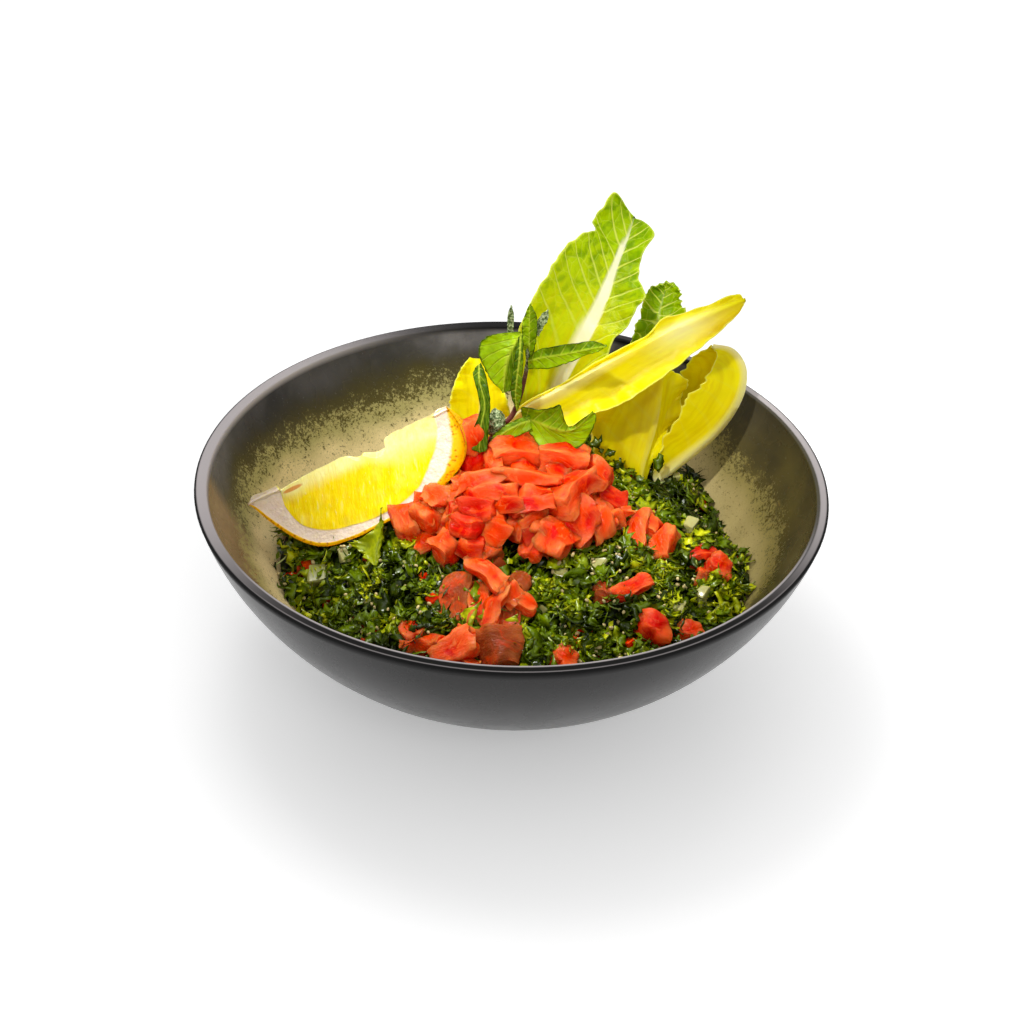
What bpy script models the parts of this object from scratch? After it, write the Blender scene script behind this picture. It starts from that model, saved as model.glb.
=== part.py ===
"""Tabbouleh salad in a wide stoneware bowl, with tomato dice, a lemon wedge, lettuce leaves and mint.

The origin is the middle of the foot, on the table. +Z is up, and -Y is the side it is served from.
Lengths are in metres; mm() takes the places of the garnishes in millimetres."""

import math

import bmesh
import bpy
from mathutils import Matrix, Vector, noise

GAP = 0.0003  # air between pieces that touch
NOISE_SEED = 1  # without it, noise_vector differs from run to run

# The bowl is a shell between two spheres with one centre, flattened below.
BOWL_RADIUS = 0.1048
RIM_HEIGHT = 0.0725
LIP_ROUND = 0.0008
SPHERE_CENTRE_Z = 0.10985
OUTER_SPHERE = 0.1122
WALL = 0.0047
INNER_SPHERE = OUTER_SPHERE - WALL
FLOOR_Z = 0.0078
FOOT_RADIUS = 0.035
FOOT_WIDTH = 0.004
FOOT_HEIGHT = 0.0044
RECESS_Z = 0.0028
BELLY_RADIUS = 0.052  # inside this the outside leaves the sphere
BOWL_STEPS = 52

# The parsley heap is a low dome that leans against the bowl's wall and rises a little towards the back.
HEAP_TOP = 0.062
HEAP_REACH = (0.082, 0.074)
HEAP_DROP = 0.023  # from the top to the reach
HEAP_TILT = 0.12
HEAP_UNEVEN = 0.0022
HEAP_DENTS = (
    # x, y, reach and depth: low at the front left and at the back left, full at the right
    (-0.062, -0.036, 0.026, 0.008),
    (-0.040, 0.062, 0.034, 0.009),
    (0.082, -0.018, 0.020, -0.003),
)
HEAP_BUMP = 0.012  # about how far apart its bumps are
HEAP_RINGS = 8
HEAP_STEPS = 34

PILE_SUNK = 0.004  # below the heap's surface, before the cut
PILE_EDGE = 0.0015  # thickness at the outline
PILE_UNEVEN = 0.0028
PILE_BUMP = 0.008
PILE_RINGS = 4
PILE_STEPS = 22
DICE_BEVEL = 0.14  # as a share of the dice
DICE_SKEW = 0.12

LEMON_HALF_LENGTH = 0.0365
LEMON_RADIUS = 0.027
LEMON_WEDGE_DEG = 55.0
LEMON_NIPPLE = 0.0025
LEMON_CORE = 0.0012  # the core's edge is trimmed this far from the axis
LEMON_STATIONS = 12
LEMON_STEPS = 7

LETTUCE_THICKNESS = 0.0011
LETTUCE_RIB = 0.0032
LETTUCE_GRID = (11, 6)  # cells along and across
MINT_THICKNESS = 0.0008
MINT_RIB = 0.0006
MINT_GRID = (5, 2)
MINT_OUTLINE = (0.3, 0.9, 1, 0.7, 0.12)  # shares of the width, from base to tip
STEM_RADIUS = 0.0013
STEM_SIDES = 6


def mm(x, y, z):
    """A place given in millimetres, in metres."""
    return Vector((x, y, z)) / 1000


def clear_scene():
    for obj in list(bpy.data.objects):
        bpy.data.objects.remove(obj)


def material(name, colour, roughness):
    mat = bpy.data.materials.new(name)
    mat.use_nodes = True
    shader = mat.node_tree.nodes["Principled BSDF"]
    shader.inputs["Base Color"].default_value = (*colour, 1)
    shader.inputs["Roughness"].default_value = roughness
    shader.inputs["Metallic"].default_value = 0
    return mat


def add_object(name, bm, mat):
    """A new object from a bmesh, its faces pointing out. In triangles, a cut meets what it was cut to."""
    bmesh.ops.triangulate(bm, faces=bm.faces)
    bmesh.ops.recalc_face_normals(bm, faces=bm.faces)
    if bm.calc_volume(signed=True) < 0:
        bmesh.ops.reverse_faces(bm, faces=bm.faces)
    mesh = bpy.data.meshes.new(name)
    bm.to_mesh(mesh)
    bm.free()
    mesh.materials.append(mat)
    mesh.shade_smooth()
    mesh.set_sharp_from_angle(angle=math.radians(40))
    obj = bpy.data.objects.new(name, mesh)
    bpy.context.scene.collection.objects.link(obj)
    return obj


def as_cutter(obj):
    """A helper that only cuts or joins other objects."""
    obj.hide_render = True
    obj.display_type = "WIRE"
    return obj


def boolean(obj, other, operation):
    cut = obj.modifiers.new(other.name, "BOOLEAN")
    cut.operation = operation
    cut.solver = "EXACT"
    cut.object = other


def smooth_path(points, share):
    """The place at a share from 0 to 1 along a Catmull-Rom curve through the points."""
    spans = len(points) - 1
    at = min(max(share, 0.0), 1.0) * spans
    first = min(int(at), spans - 1)
    t = at - first
    p1, p2 = points[first], points[first + 1]
    p0 = points[first - 1] if first else p1 * 2 - p2
    p3 = points[first + 2] if first + 2 <= spans else p2 * 2 - p1
    return 0.5 * (
        2 * p1 + (p2 - p0) * t + (2 * p0 - 5 * p1 + 4 * p2 - p3) * t**2
        + (3 * p1 - p0 - 3 * p2 + p3) * t**3
    )


def spun(profile, steps):
    """A closed surface of revolution about Z from (radius, height) points that start and end on the axis."""
    bm = bmesh.new()
    verts = [bm.verts.new((radius, 0, height)) for radius, height in profile]
    edges = [bm.edges.new(pair) for pair in zip(verts, verts[1:])]
    bmesh.ops.spin(
        bm, geom=verts + edges, cent=(0, 0, 0), axis=(0, 0, 1), angle=math.tau, steps=steps, use_merge=True
    )
    bmesh.ops.remove_doubles(bm, verts=bm.verts, dist=1e-6)
    bmesh.ops.dissolve_degenerate(bm, edges=bm.edges, dist=1e-6)
    return bm


# The bowl


def on_sphere(radius, angle):
    """(distance from the axis, height) at an angle up from the bottom of a sphere round the bowl's centre."""
    return radius * math.sin(angle), SPHERE_CENTRE_Z - radius * math.cos(angle)


def wall_z(radius):
    """Height of the bowl's inside at a distance from its axis."""
    return max(FLOOR_Z, SPHERE_CENTRE_Z - math.sqrt(INNER_SPHERE**2 - radius**2))


def bowl_profile():
    belly = math.asin(BELLY_RADIUS / OUTER_SPHERE)
    rim = math.acos((SPHERE_CENTRE_Z - RIM_HEIGHT + LIP_ROUND) / OUTER_SPHERE)
    inner_rim = math.acos((SPHERE_CENTRE_Z - RIM_HEIGHT + LIP_ROUND) / INNER_SPHERE)
    floor = math.acos((SPHERE_CENTRE_Z - FLOOR_Z) / INNER_SPHERE)
    foot_in = FOOT_RADIUS - FOOT_WIDTH
    ease = FOOT_WIDTH / 8
    points = [(0, RECESS_Z), (foot_in - 4 * ease, RECESS_Z), (foot_in, RECESS_Z - ease)]
    points += [(foot_in + ease, 0), (FOOT_RADIUS - ease, 0), (FOOT_RADIUS, ease)]
    # From the foot out to the sphere, rising a little less steeply than the sphere does.
    foot_top = (FOOT_RADIUS + 2 * ease, FOOT_HEIGHT)
    meet = on_sphere(OUTER_SPHERE, belly)
    lift = FOOT_HEIGHT - (SPHERE_CENTRE_Z - math.sqrt(OUTER_SPHERE**2 - foot_top[0] ** 2))
    for k in range(4):
        share = k / 4
        radius = foot_top[0] + (meet[0] - foot_top[0]) * share
        height = SPHERE_CENTRE_Z - math.sqrt(OUTER_SPHERE**2 - radius**2)
        points.append((radius, height + lift * (1 - share) ** 2))
    points += [on_sphere(OUTER_SPHERE, belly + (rim - belly) * k / 7) for k in range(7)]
    # The lip is flat between two rounded edges.
    back = INNER_SPHERE * math.sin(inner_rim) + LIP_ROUND
    quarter = [(math.cos(math.pi / 2 * k / 3), math.sin(math.pi / 2 * k / 3)) for k in range(4)]
    out, level = BOWL_RADIUS - LIP_ROUND, RIM_HEIGHT - LIP_ROUND
    points += [(out + LIP_ROUND * x, level + LIP_ROUND * z) for x, z in quarter]
    points += [(back - LIP_ROUND * x, level + LIP_ROUND * z) for x, z in reversed(quarter)]
    points += [on_sphere(INNER_SPHERE, inner_rim + (floor - inner_rim) * k / 11) for k in range(1, 12)]
    points.append((0, FLOOR_Z))
    return points


def make_bowl(mat):
    return add_object("bowl", spun(bowl_profile(), BOWL_STEPS), mat)


# The parsley heap and the piles of tomato on it


def uneven(x, y, size, reach):
    """Smooth bumps of about +-size, each about reach across."""
    return size * noise.noise(Vector((x / reach, y / reach, 3.7)))


def heap_z(x, y):
    """Height of the heap's dome, with its bumps."""
    out = math.hypot(x / HEAP_REACH[0], y / HEAP_REACH[1])
    height = HEAP_TOP + HEAP_TILT * y - HEAP_DROP * out**2 + uneven(x, y, HEAP_UNEVEN, HEAP_BUMP)
    for dent_x, dent_y, reach, depth in HEAP_DENTS:
        height -= depth * math.exp(-((x - dent_x) ** 2 + (y - dent_y) ** 2) / reach**2)
    return height


def contact_radius(azimuth):
    """Distance from the axis at which the dome meets the bowl's wall."""
    low, high = 0.0, BOWL_RADIUS - WALL
    for _ in range(40):
        radius = (low + high) / 2
        above = heap_z(radius * math.cos(azimuth), radius * math.sin(azimuth)) > wall_z(radius) + GAP
        low, high = (radius, high) if above else (low, radius)
    return low


def make_heap(name, mat):
    """A spun lens of unit size, whose top is laid on the dome and whose bottom on the bowl's wall."""
    top = [(k / HEAP_RINGS, 1) for k in range(HEAP_RINGS)]
    bottom = [(k / 5, -1) for k in range(4, -1, -1)]
    bm = spun([*top, (1, 0), *bottom], HEAP_STEPS)
    for vert in bm.verts:
        share, side = math.hypot(vert.co.x, vert.co.y), vert.co.z
        azimuth = math.atan2(vert.co.y, vert.co.x)
        radius = share * contact_radius(azimuth)
        x, y = radius * math.cos(azimuth), radius * math.sin(azimuth)
        vert.co = (x, y, heap_z(x, y) if side > 0 else wall_z(radius) + GAP)
    return add_object(name, bm, mat)


def make_pile(name, mat, centre, reach, turn_deg, height):
    """A pile with an uneven outline. Its underside is sunk, to be cut to the heap's shape."""
    top = [(k / PILE_RINGS, 1) for k in range(PILE_RINGS)]
    bm = spun([*top, (1, 0), (0.5, -1), (0, -1)], PILE_STEPS)
    turn = Matrix.Rotation(math.radians(turn_deg), 3, "Z")
    for vert in bm.verts:
        share, side = math.hypot(vert.co.x, vert.co.y), vert.co.z
        azimuth = math.atan2(vert.co.y, vert.co.x)
        way = Vector((math.cos(azimuth), math.sin(azimuth), 0))
        edge = 1 + 0.1 * noise.noise(way * 2 + centre * 90)
        x, y, _ = centre + turn @ Vector((way.x * reach[0], way.y * reach[1], 0)) * share * edge
        rise = height * (1 - share**2.6) + uneven(x, y, PILE_UNEVEN, PILE_BUMP)
        over_heap = {1: max(rise, PILE_EDGE), 0: PILE_EDGE, -1: -PILE_SUNK}
        vert.co = (x, y, heap_z(x, y) + over_heap[round(side)])
    return add_object(name, bm, mat)


def make_dice(name, mat, place, size, turns_deg, extra=0.0):
    """One tomato dice or strip: a bevelled block, a little skewed. extra makes it larger all round."""
    bm = bmesh.new()
    bmesh.ops.create_cube(bm, size=1)
    bmesh.ops.bevel(
        bm, geom=bm.edges, offset=DICE_BEVEL, offset_type="OFFSET", segments=1, profile=0.5, affect="EDGES",
        material=-1,
    )
    for vert in bm.verts:
        skew = noise.noise_vector(vert.co * 1.3 + place * 400) * DICE_SKEW
        for axis in range(3):
            vert.co[axis] = (vert.co[axis] + skew[axis]) * (size[axis] + 2 * extra)
    turn = Matrix.Rotation(math.radians(turns_deg[2]), 4, "Z")
    turn @= Matrix.Rotation(math.radians(turns_deg[1]), 4, "Y")
    turn @= Matrix.Rotation(math.radians(turns_deg[0]), 4, "X")
    bmesh.ops.transform(bm, matrix=Matrix.Translation(place) @ turn, verts=bm.verts)
    return add_object(name, bm, mat)


# The lemon wedge


def lemon_frame():
    """The wedge's own axes: x along the core to the upper end, y across the face that shows, z behind it."""
    low, high = mm(-88, 2, 58.5), mm(-21.5, 6, 96)
    along = (high - low).normalized()
    across = Vector((0, -0.5, -0.85))
    across = (across - along * across.dot(along)).normalized()
    frame = Matrix((along, across, along.cross(across))).transposed().to_4x4()
    frame.translation = (low + high) / 2
    return frame


def lemon_radius(s):
    """Radius of the whole fruit at a distance s along its core from the middle."""
    share = min(abs(s) / LEMON_HALF_LENGTH, 1.0)
    return LEMON_RADIUS * math.sqrt(1 - share**2.1)


def lemon_outline(extra):
    """(along the core, away from it) of the half fruit's outline, and back along the trimmed core."""
    turns = [math.pi * k / LEMON_STATIONS for k in range(1, LEMON_STATIONS)]
    stations = [-LEMON_HALF_LENGTH * math.cos(turn) for turn in turns]
    nose = LEMON_HALF_LENGTH + LEMON_NIPPLE + extra
    points = [(-nose, LEMON_CORE + 0.001)]
    points += [(s, lemon_radius(s) + extra) for s in stations]
    points += [(LEMON_HALF_LENGTH + extra, LEMON_CORE + 0.002)]
    points += [(LEMON_HALF_LENGTH * share, LEMON_CORE - extra) for share in (0.9, 0.3, -0.85)]
    return points


def make_lemon(name, mat, extra=0.0):
    """Half the fruit's outline, turned by the wedge's angle. extra makes it larger all round."""
    bm = bmesh.new()
    side = bm.faces.new([bm.verts.new((s, radius, 0)) for s, radius in lemon_outline(extra)])
    more = math.atan2(extra, LEMON_RADIUS)
    bmesh.ops.rotate(bm, verts=bm.verts, cent=(0, 0, 0), matrix=Matrix.Rotation(-more, 3, "X"))
    bmesh.ops.spin(
        bm, geom=[side, *side.edges, *side.verts], cent=(0, 0, 0), axis=(1, 0, 0),
        angle=math.radians(LEMON_WEDGE_DEG) + 2 * more, steps=LEMON_STEPS, use_merge=False,
    )
    bmesh.ops.transform(bm, matrix=lemon_frame(), verts=bm.verts)
    return add_object(name, bm, mat)


# Leaves


def leaf_point(spec, u, v):
    """A point of a leaf's middle surface: u from base to tip, v from -1 (left edge) to 1 (right)."""
    rib = smooth_path(spec["rib"], u)
    edge = smooth_path(spec["right" if v > 0 else "left"], u)
    along = smooth_path(spec["rib"], u + 0.03) - smooth_path(spec["rib"], u - 0.03)
    inward = (smooth_path(spec["right"], u) - smooth_path(spec["left"], u)).cross(along).normalized()
    width = (edge - rib).length
    cup = 4 * abs(v) * (1 - abs(v)) * spec["cup"] * width
    wave = spec["wave"] * abs(v) ** 2.5 * math.sin(u * 23 + (2 if v > 0 else 0))
    return rib + (edge - rib) * abs(v) + inward * (wave - cup)


def inner_normal(spec, u, v):
    """The direction in which a leaf's inner side looks at a point."""
    step = 0.03
    along = leaf_point(spec, min(u + step, 1), v) - leaf_point(spec, max(u - step, 0), v)
    across = leaf_point(spec, u, min(v + 3 * step, 1)) - leaf_point(spec, u, max(v - 3 * step, -1))
    return across.cross(along).normalized()


def make_leaf(name, mat, spec, thickness, rib_thickness, grid):
    """A leaf as a thick sheet between its rib and its two edges, with the rib standing out at the back."""
    bm = bmesh.new()
    bmesh.ops.create_grid(bm, x_segments=grid[1], y_segments=grid[0], size=1)
    inner_side = list(bm.verts)
    grown = bmesh.ops.extrude_face_region(bm, geom=list(bm.faces), use_keep_orig=True)
    outer_side = [v for v in grown["geom"] if isinstance(v, bmesh.types.BMVert)]
    for side, verts in ((1, inner_side), (-1, outer_side)):
        for vert in verts:
            v, u = vert.co.x, (vert.co.y + 1) / 2
            spine = rib_thickness * (1 - 0.75 * u) * math.exp(-((v / 0.3) ** 2)) if side < 0 else 0
            vert.co = leaf_point(spec, u, v) + inner_normal(spec, u, v) * side * (thickness / 2 + spine)
    return add_object(name, bm, mat)


# Each leaf's rib and edges from base to tip. Seen from its inner side, left is on the left.
LETTUCE = {
    # A tall green leaf at the back: its broad left half faces the front, its right half is folded in.
    "lettuce_tall": dict(
        rib=[
            mm(6, 30, 58), mm(11, 36, 73), mm(16, 42, 87), mm(22, 50, 98), mm(29, 58, 110), mm(34, 65, 122),
            mm(38, 69, 134), mm(31, 64, 147),
        ],
        left=[
            mm(2, 28, 60), mm(2, 32, 75), mm(0, 37, 90), mm(2, 42, 106), mm(8, 49, 120), mm(14, 54, 129),
            mm(24, 60, 138), mm(30, 63, 147),
        ],
        right=[
            mm(11, 28, 60), mm(16, 32, 76), mm(23, 36, 89), mm(32, 42, 97), mm(38, 48, 105), mm(41, 54, 117),
            mm(45, 60, 134), mm(33, 64, 147),
        ],
        cup=0.12, wave=0.0012,
    ),
    # A small dark leaf that shows between the tall one and the long one.
    "lettuce_back": dict(
        rib=[mm(34, 50, 54), mm(38, 56, 71), mm(44, 64, 85), mm(49, 71, 97), mm(52, 72, 108)],
        left=[mm(32, 49, 55), mm(37, 54, 74), mm(40, 60, 91), mm(44, 66, 102), mm(50, 70, 109)],
        right=[mm(37, 48, 55), mm(43, 54, 73), mm(53, 60, 90), mm(58, 66, 101), mm(54, 71, 109)],
        cup=0.15, wave=0.001,
    ),
    # A long pale leaf, its near half hanging from the rib, that points to the upper right.
    "lettuce_long": dict(
        rib=[
            mm(-4, 22, 74), mm(7, 23, 82), mm(19, 26, 88), mm(31, 30, 95), mm(42, 34, 101), mm(53, 38, 106),
            mm(66, 42, 112), mm(76, 46, 118),
        ],
        left=[
            mm(-7, 24, 77), mm(3, 25, 85), mm(15, 29, 92), mm(27, 34, 98), mm(38, 38, 104), mm(50, 42, 112),
            mm(64, 45, 115), mm(75, 47, 119),
        ],
        right=[
            mm(-1, 20, 72), mm(9, 19, 79), mm(20, 21, 82), mm(34, 25, 86), mm(44, 28, 93), mm(55, 32, 99),
            mm(64, 37, 106), mm(76, 44, 117),
        ],
        cup=0.12, wave=0.0006,
    ),
    # A large boat-shaped leaf at the right. Its keel runs up the outside and over the top.
    "lettuce_curled": dict(
        rib=[
            mm(49, 33, 52), mm(55, 35, 57), mm(62, 37, 62), mm(69, 40, 68), mm(75, 43, 75), mm(78, 46, 82),
            mm(78, 49, 89), mm(74, 50, 95), mm(67, 49, 97),
        ],
        left=[
            mm(49, 40, 50), mm(51, 48, 55), mm(54, 54, 64), mm(58, 57, 74), mm(59, 57, 83), mm(62, 55, 90),
            mm(67, 51, 96),
        ],
        right=[
            mm(49, 32, 52), mm(50, 33, 60), mm(52, 35, 67), mm(56, 37, 75), mm(59, 39, 81), mm(63, 41, 85),
            mm(66, 43, 88), mm(68, 47, 95),
        ],
        cup=0.05, wave=0.0004,
    ),
    # A yellow heart leaf between the long one and the curled one.
    "lettuce_heart": dict(
        rib=[mm(44, 26, 50), mm(45, 29, 58), mm(47, 33, 65), mm(49, 37, 72), mm(50, 41, 80), mm(51, 45, 88)],
        left=[
            mm(40, 26, 52), mm(31, 26, 59), mm(27, 25, 69), mm(27, 26, 79), mm(31, 31, 86), mm(39, 36, 88),
            mm(48, 44, 89),
        ],
        right=[
            mm(45, 27, 50), mm(46, 30, 58), mm(49, 35, 65), mm(54, 41, 71), mm(57, 43, 77), mm(58, 45, 83),
            mm(54, 46, 89),
        ],
        cup=0.12, wave=0.0012,
    ),
    # A yellow leaf tip behind the mint at the left.
    "lettuce_left": dict(
        rib=[mm(-9, 26, 58), mm(-11, 30, 70), mm(-11, 34, 80), mm(-12, 38, 88), mm(-14, 42, 93)],
        left=[mm(-13, 25, 59), mm(-20, 28, 71), mm(-22, 31, 81), mm(-20, 36, 89), mm(-16, 41, 94)],
        right=[mm(-4, 25, 59), mm(-1, 28, 72), mm(-2, 31, 81), mm(-6, 36, 90), mm(-11, 41, 94)],
        cup=0.12, wave=0.0008,
    ),
}

STEM = [mm(-14, 23, 60), mm(-10, 20, 72), mm(-3, 19, 81), mm(1, 20, 88), mm(3, 22, 97), mm(3, 25, 112)]
FRONT = Vector((0, -1, 0.3))
MINT = [
    # rib, facing, half width
    ([mm(3, 25, 111), mm(-1, 26, 116), mm(-2, 27, 123)], FRONT, 0.0024),
    ([mm(3, 23, 100), mm(4, 22, 107), mm(3, 24, 116), mm(4, 25, 125)], FRONT, 0.0035),
    ([mm(3, 25, 111), mm(7, 26, 115), mm(10, 28, 121)], FRONT, 0.0022),
    ([mm(3, 22, 97), mm(9, 20, 106), mm(18, 17, 111), mm(28, 14, 116)], Vector((0.2, -0.6, 0.9)), 0.0075),
    ([mm(3, 24, 107), mm(-3, 17, 113), mm(-6, 12, 109), mm(-4, 9, 99)], Vector((-0.3, -0.8, 0.6)), 0.0085),
    ([mm(3, 22, 98), mm(-6, 15, 99), mm(-10, 11, 93), mm(-12, 9, 81)], Vector((-0.7, -0.7, 0.2)), 0.0035),
    ([mm(1, 20, 88), mm(2, 16, 92), mm(0, 14, 98)], Vector((0.8, -0.6, 0)), 0.0030),
    ([mm(-5, 19, 79), mm(-1, 10, 87), mm(9, 5, 93), mm(27, 4, 96)], Vector((0, -0.75, 0.7)), 0.0085),
]


def make_tube(name, mat, points, radius):
    """A closed round tube along a smooth path, as a mesh."""
    curve = bpy.data.curves.new(name, "CURVE")
    curve.dimensions = "3D"
    curve.bevel_depth = radius
    curve.bevel_resolution = (STEM_SIDES - 4) // 2
    curve.use_fill_caps = True
    spline = curve.splines.new("POLY")
    count = 2 * len(points)
    spline.points.add(count - 1)
    for k, point in enumerate(spline.points):
        point.co = (*smooth_path(points, k / (count - 1)), 1)
    guide = bpy.data.objects.new(name, curve)
    mesh = bpy.data.meshes.new_from_object(guide)
    bpy.data.objects.remove(guide)
    bm = bmesh.new()
    bm.from_mesh(mesh)
    bmesh.ops.remove_doubles(bm, verts=bm.verts, dist=1e-6)
    return add_object(name, bm, mat)


def mint_leaf(rib, facing, width):
    """The edges of a mint leaf round its rib, widest a little under its middle."""
    left, right = [], []
    last = len(MINT_OUTLINE) - 1
    for k in range(last + 1):
        u = k / last
        along = (smooth_path(rib, u + 0.05) - smooth_path(rib, u - 0.05)).normalized()
        across = along.cross(facing).normalized()
        half = width * MINT_OUTLINE[k]
        place = smooth_path(rib, u)
        lift = facing.normalized() * half * 0.3
        left.append(place - across * half + lift)
        right.append(place + across * half + lift)
    middle = [smooth_path(rib, k / last) for k in range(last + 1)]
    return dict(rib=middle, left=left, right=right, cup=0.1, wave=0.0)


def make_mint(mat):
    """One sprig: its stem, and its leaves joined to it."""
    stem = make_tube("mint_sprig", mat, STEM, STEM_RADIUS)
    for k, spec in enumerate(MINT):
        leaf = make_leaf(f"mint_leaf_{k}", mat, mint_leaf(*spec), MINT_THICKNESS, MINT_RIB, MINT_GRID)
        boolean(stem, as_cutter(leaf), "UNION")
    return stem


# Tomato: the piles as (centre, reach, turn, height), and the pieces that lie apart.
PILES = {
    "tomato_mound": (mm(0, -5, 0), (0.038, 0.025), 6, 0.0190),
    "tomato_trail": (mm(-3, -42, 0), (0.010, 0.0085), 25, 0.0060),
    "tomato_front": (mm(-16, -57, 0), (0.018, 0.0060), 4, 0.0065),
}
DICE = {
    # x, y and height over the heap, size, turns about X, Y and Z in degrees
    "tomato_dice_1": (mm(43, -5, 2.0), (0.0065, 0.0060, 0.0140), (25, 8, 20)),
    "tomato_dice_2": (mm(52, -7, 1.5), (0.0080, 0.0070, 0.0110), (20, -12, 50)),
    "tomato_dice_3": (mm(67, -13, 1.0), (0.0120, 0.0085, 0.0070), (12, 20, -20)),
    "tomato_dice_4": (mm(36, -31, 1.5), (0.0190, 0.0055, 0.0050), (0, 14, 29)),
    "tomato_dice_5": (mm(47, -42, 0.5), (0.0090, 0.0080, 0.0090), (30, 15, 35)),
    "tomato_dice_6": (mm(58, -41, 1.0), (0.0085, 0.0065, 0.0065), (8, 25, 60)),
    "tomato_dice_7": (mm(20, -57, 0.0), (0.0110, 0.0080, 0.0060), (20, 0, 10)),
}


def main():
    clear_scene()
    noise.seed_set(NOISE_SEED)
    glaze = material("black_glaze", (0.03, 0.03, 0.03), 0.35)
    parsley = material("parsley", (0.05, 0.16, 0.02), 0.5)
    tomato = material("tomato", (0.75, 0.09, 0.03), 0.2)
    lemon = material("lemon", (0.95, 0.75, 0.05), 0.3)
    lettuce = material("lettuce", (0.6, 0.7, 0.08), 0.4)
    mint = material("mint", (0.1, 0.3, 0.02), 0.45)

    make_bowl(glaze)
    heap = make_heap("parsley_heap", parsley)
    raised = as_cutter(make_heap("raised_heap", parsley))
    raised.location.z = GAP

    make_lemon("lemon_wedge", lemon)
    sockets = [make_lemon("lemon_socket", lemon, 1.5 * GAP)]
    for name, (place, size, turns) in DICE.items():
        place = place + Vector((0, 0, heap_z(place.x, place.y)))
        make_dice(name, tomato, place, size, turns)
        sockets.append(make_dice(f"{name}_socket", tomato, place, size, turns, GAP))
    for socket in sockets:
        boolean(heap, as_cutter(socket), "DIFFERENCE")

    leaves = [
        make_leaf(name, lettuce, spec, LETTUCE_THICKNESS, LETTUCE_RIB, LETTUCE_GRID)
        for name, spec in LETTUCE.items()
    ]
    piles = [make_pile(name, tomato, *spec) for name, spec in PILES.items()]
    boolean(piles[0], sockets[0], "DIFFERENCE")
    for piece in (*leaves, *piles, make_mint(mint)):
        boolean(piece, raised, "DIFFERENCE")


main()
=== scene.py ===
"""Tabbouleh salad in a stoneware bowl: chopped parsley, bulgur and tomato, with lemon, lettuce and mint.

The origin is the middle of the foot, on the table. +Z is up, and -Y is the side it is served from.
Lengths are in metres; mm() takes places in millimetres."""

import math

import bmesh
import bpy
import numpy as np
from bpy.props import FloatProperty, FloatVectorProperty, IntProperty, PointerProperty
from mathutils import Matrix, Vector, noise


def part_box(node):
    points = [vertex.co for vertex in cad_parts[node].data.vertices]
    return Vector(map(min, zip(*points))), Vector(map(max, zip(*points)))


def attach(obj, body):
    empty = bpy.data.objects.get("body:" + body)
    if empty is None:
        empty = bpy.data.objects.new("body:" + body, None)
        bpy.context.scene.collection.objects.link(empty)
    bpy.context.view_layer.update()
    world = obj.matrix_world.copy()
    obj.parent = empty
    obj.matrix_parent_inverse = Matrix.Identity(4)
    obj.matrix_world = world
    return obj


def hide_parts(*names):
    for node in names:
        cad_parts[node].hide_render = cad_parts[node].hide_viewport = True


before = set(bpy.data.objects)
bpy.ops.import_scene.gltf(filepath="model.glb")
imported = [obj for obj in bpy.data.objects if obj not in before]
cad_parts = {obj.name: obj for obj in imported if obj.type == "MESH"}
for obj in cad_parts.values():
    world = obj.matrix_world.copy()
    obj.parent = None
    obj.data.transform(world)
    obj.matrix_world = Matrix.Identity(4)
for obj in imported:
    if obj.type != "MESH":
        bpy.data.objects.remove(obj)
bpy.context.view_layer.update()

bl_info = {
    "name": "Tabbouleh salad",
    "version": (1, 0, 0),
    "blender": (4, 5, 0),
    "location": "3D View > Sidebar > Tabbouleh",
    "description": "A bowl of tabbouleh salad, its garnishes and a plain stage",
    "category": "Object",
}

noise.seed_set(1)  # noise_vector would differ from run to run without it

# The bowl is a shell between two spheres with one centre, flattened below.
SPHERE_CENTRE_Z = 0.10985
OUTER_SPHERE = 0.1122
FLOOR_Z = 0.0078
FOOT_HEIGHT = 0.0044
RECESS_Z = 0.0028
BELLY_RADIUS = 0.052  # where the outside leaves the flattened part for the sphere
LIP_HEIGHT, LIP_WIDTH = 0.0009, 0.0042
LIP_ROUND_OUT, LIP_ROUND_IN = 0.0008, 0.0007
WALL_GAP = 0.0003  # what the loose bits keep from the inside of the wall
CORE_SUNK = 0.003  # how far the core lies under the salad's surface

# The heap is a dome that falls by the drop at its reach, and rises towards the back.
HEAP_TOP = 0.062
HEAP_REACH = (0.082, 0.074)
HEAP_DROP = 0.023
HEAP_TILT = 0.12
HEAP_DENTS = (  # x, y, reach and depth of each dent; a depth below 0 is a rise
    (-0.062, -0.036, 0.026, 0.008),
    (-0.056, 0.026, 0.024, 0.007),
    (-0.040, 0.062, 0.034, 0.009),
    (0.082, -0.018, 0.020, -0.003),
    (0.073, 0.024, 0.017, 0.008),
)


def mm(x, y, z):
    """A place given in millimetres, in metres."""
    return Vector((x, y, z)) / 1000


def shade(red, green, blue):
    """A screen colour from 0 to 255 as the linear colour that shaders take."""
    return tuple(
        c / 255 / 12.92 if c <= 10.3 else ((c / 255 + 0.055) / 1.055) ** 2.4 for c in (red, green, blue)
    )


def colour_prop(name, description, default):
    return FloatVectorProperty(
        name=name, description=description, default=shade(*default), min=0, max=1, size=3,
        subtype="COLOR"
    )


def length_prop(name, description, default):
    return FloatProperty(
        name=name, description=description, default=default, min=0.0, unit="LENGTH", precision=5
    )


def number_prop(name, description, default):
    return FloatProperty(name=name, description=description, default=default, min=0)


def count_prop(name, description, default):
    return IntProperty(name=name, description=description, default=default, min=0)


# Sizes and colours


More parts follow.
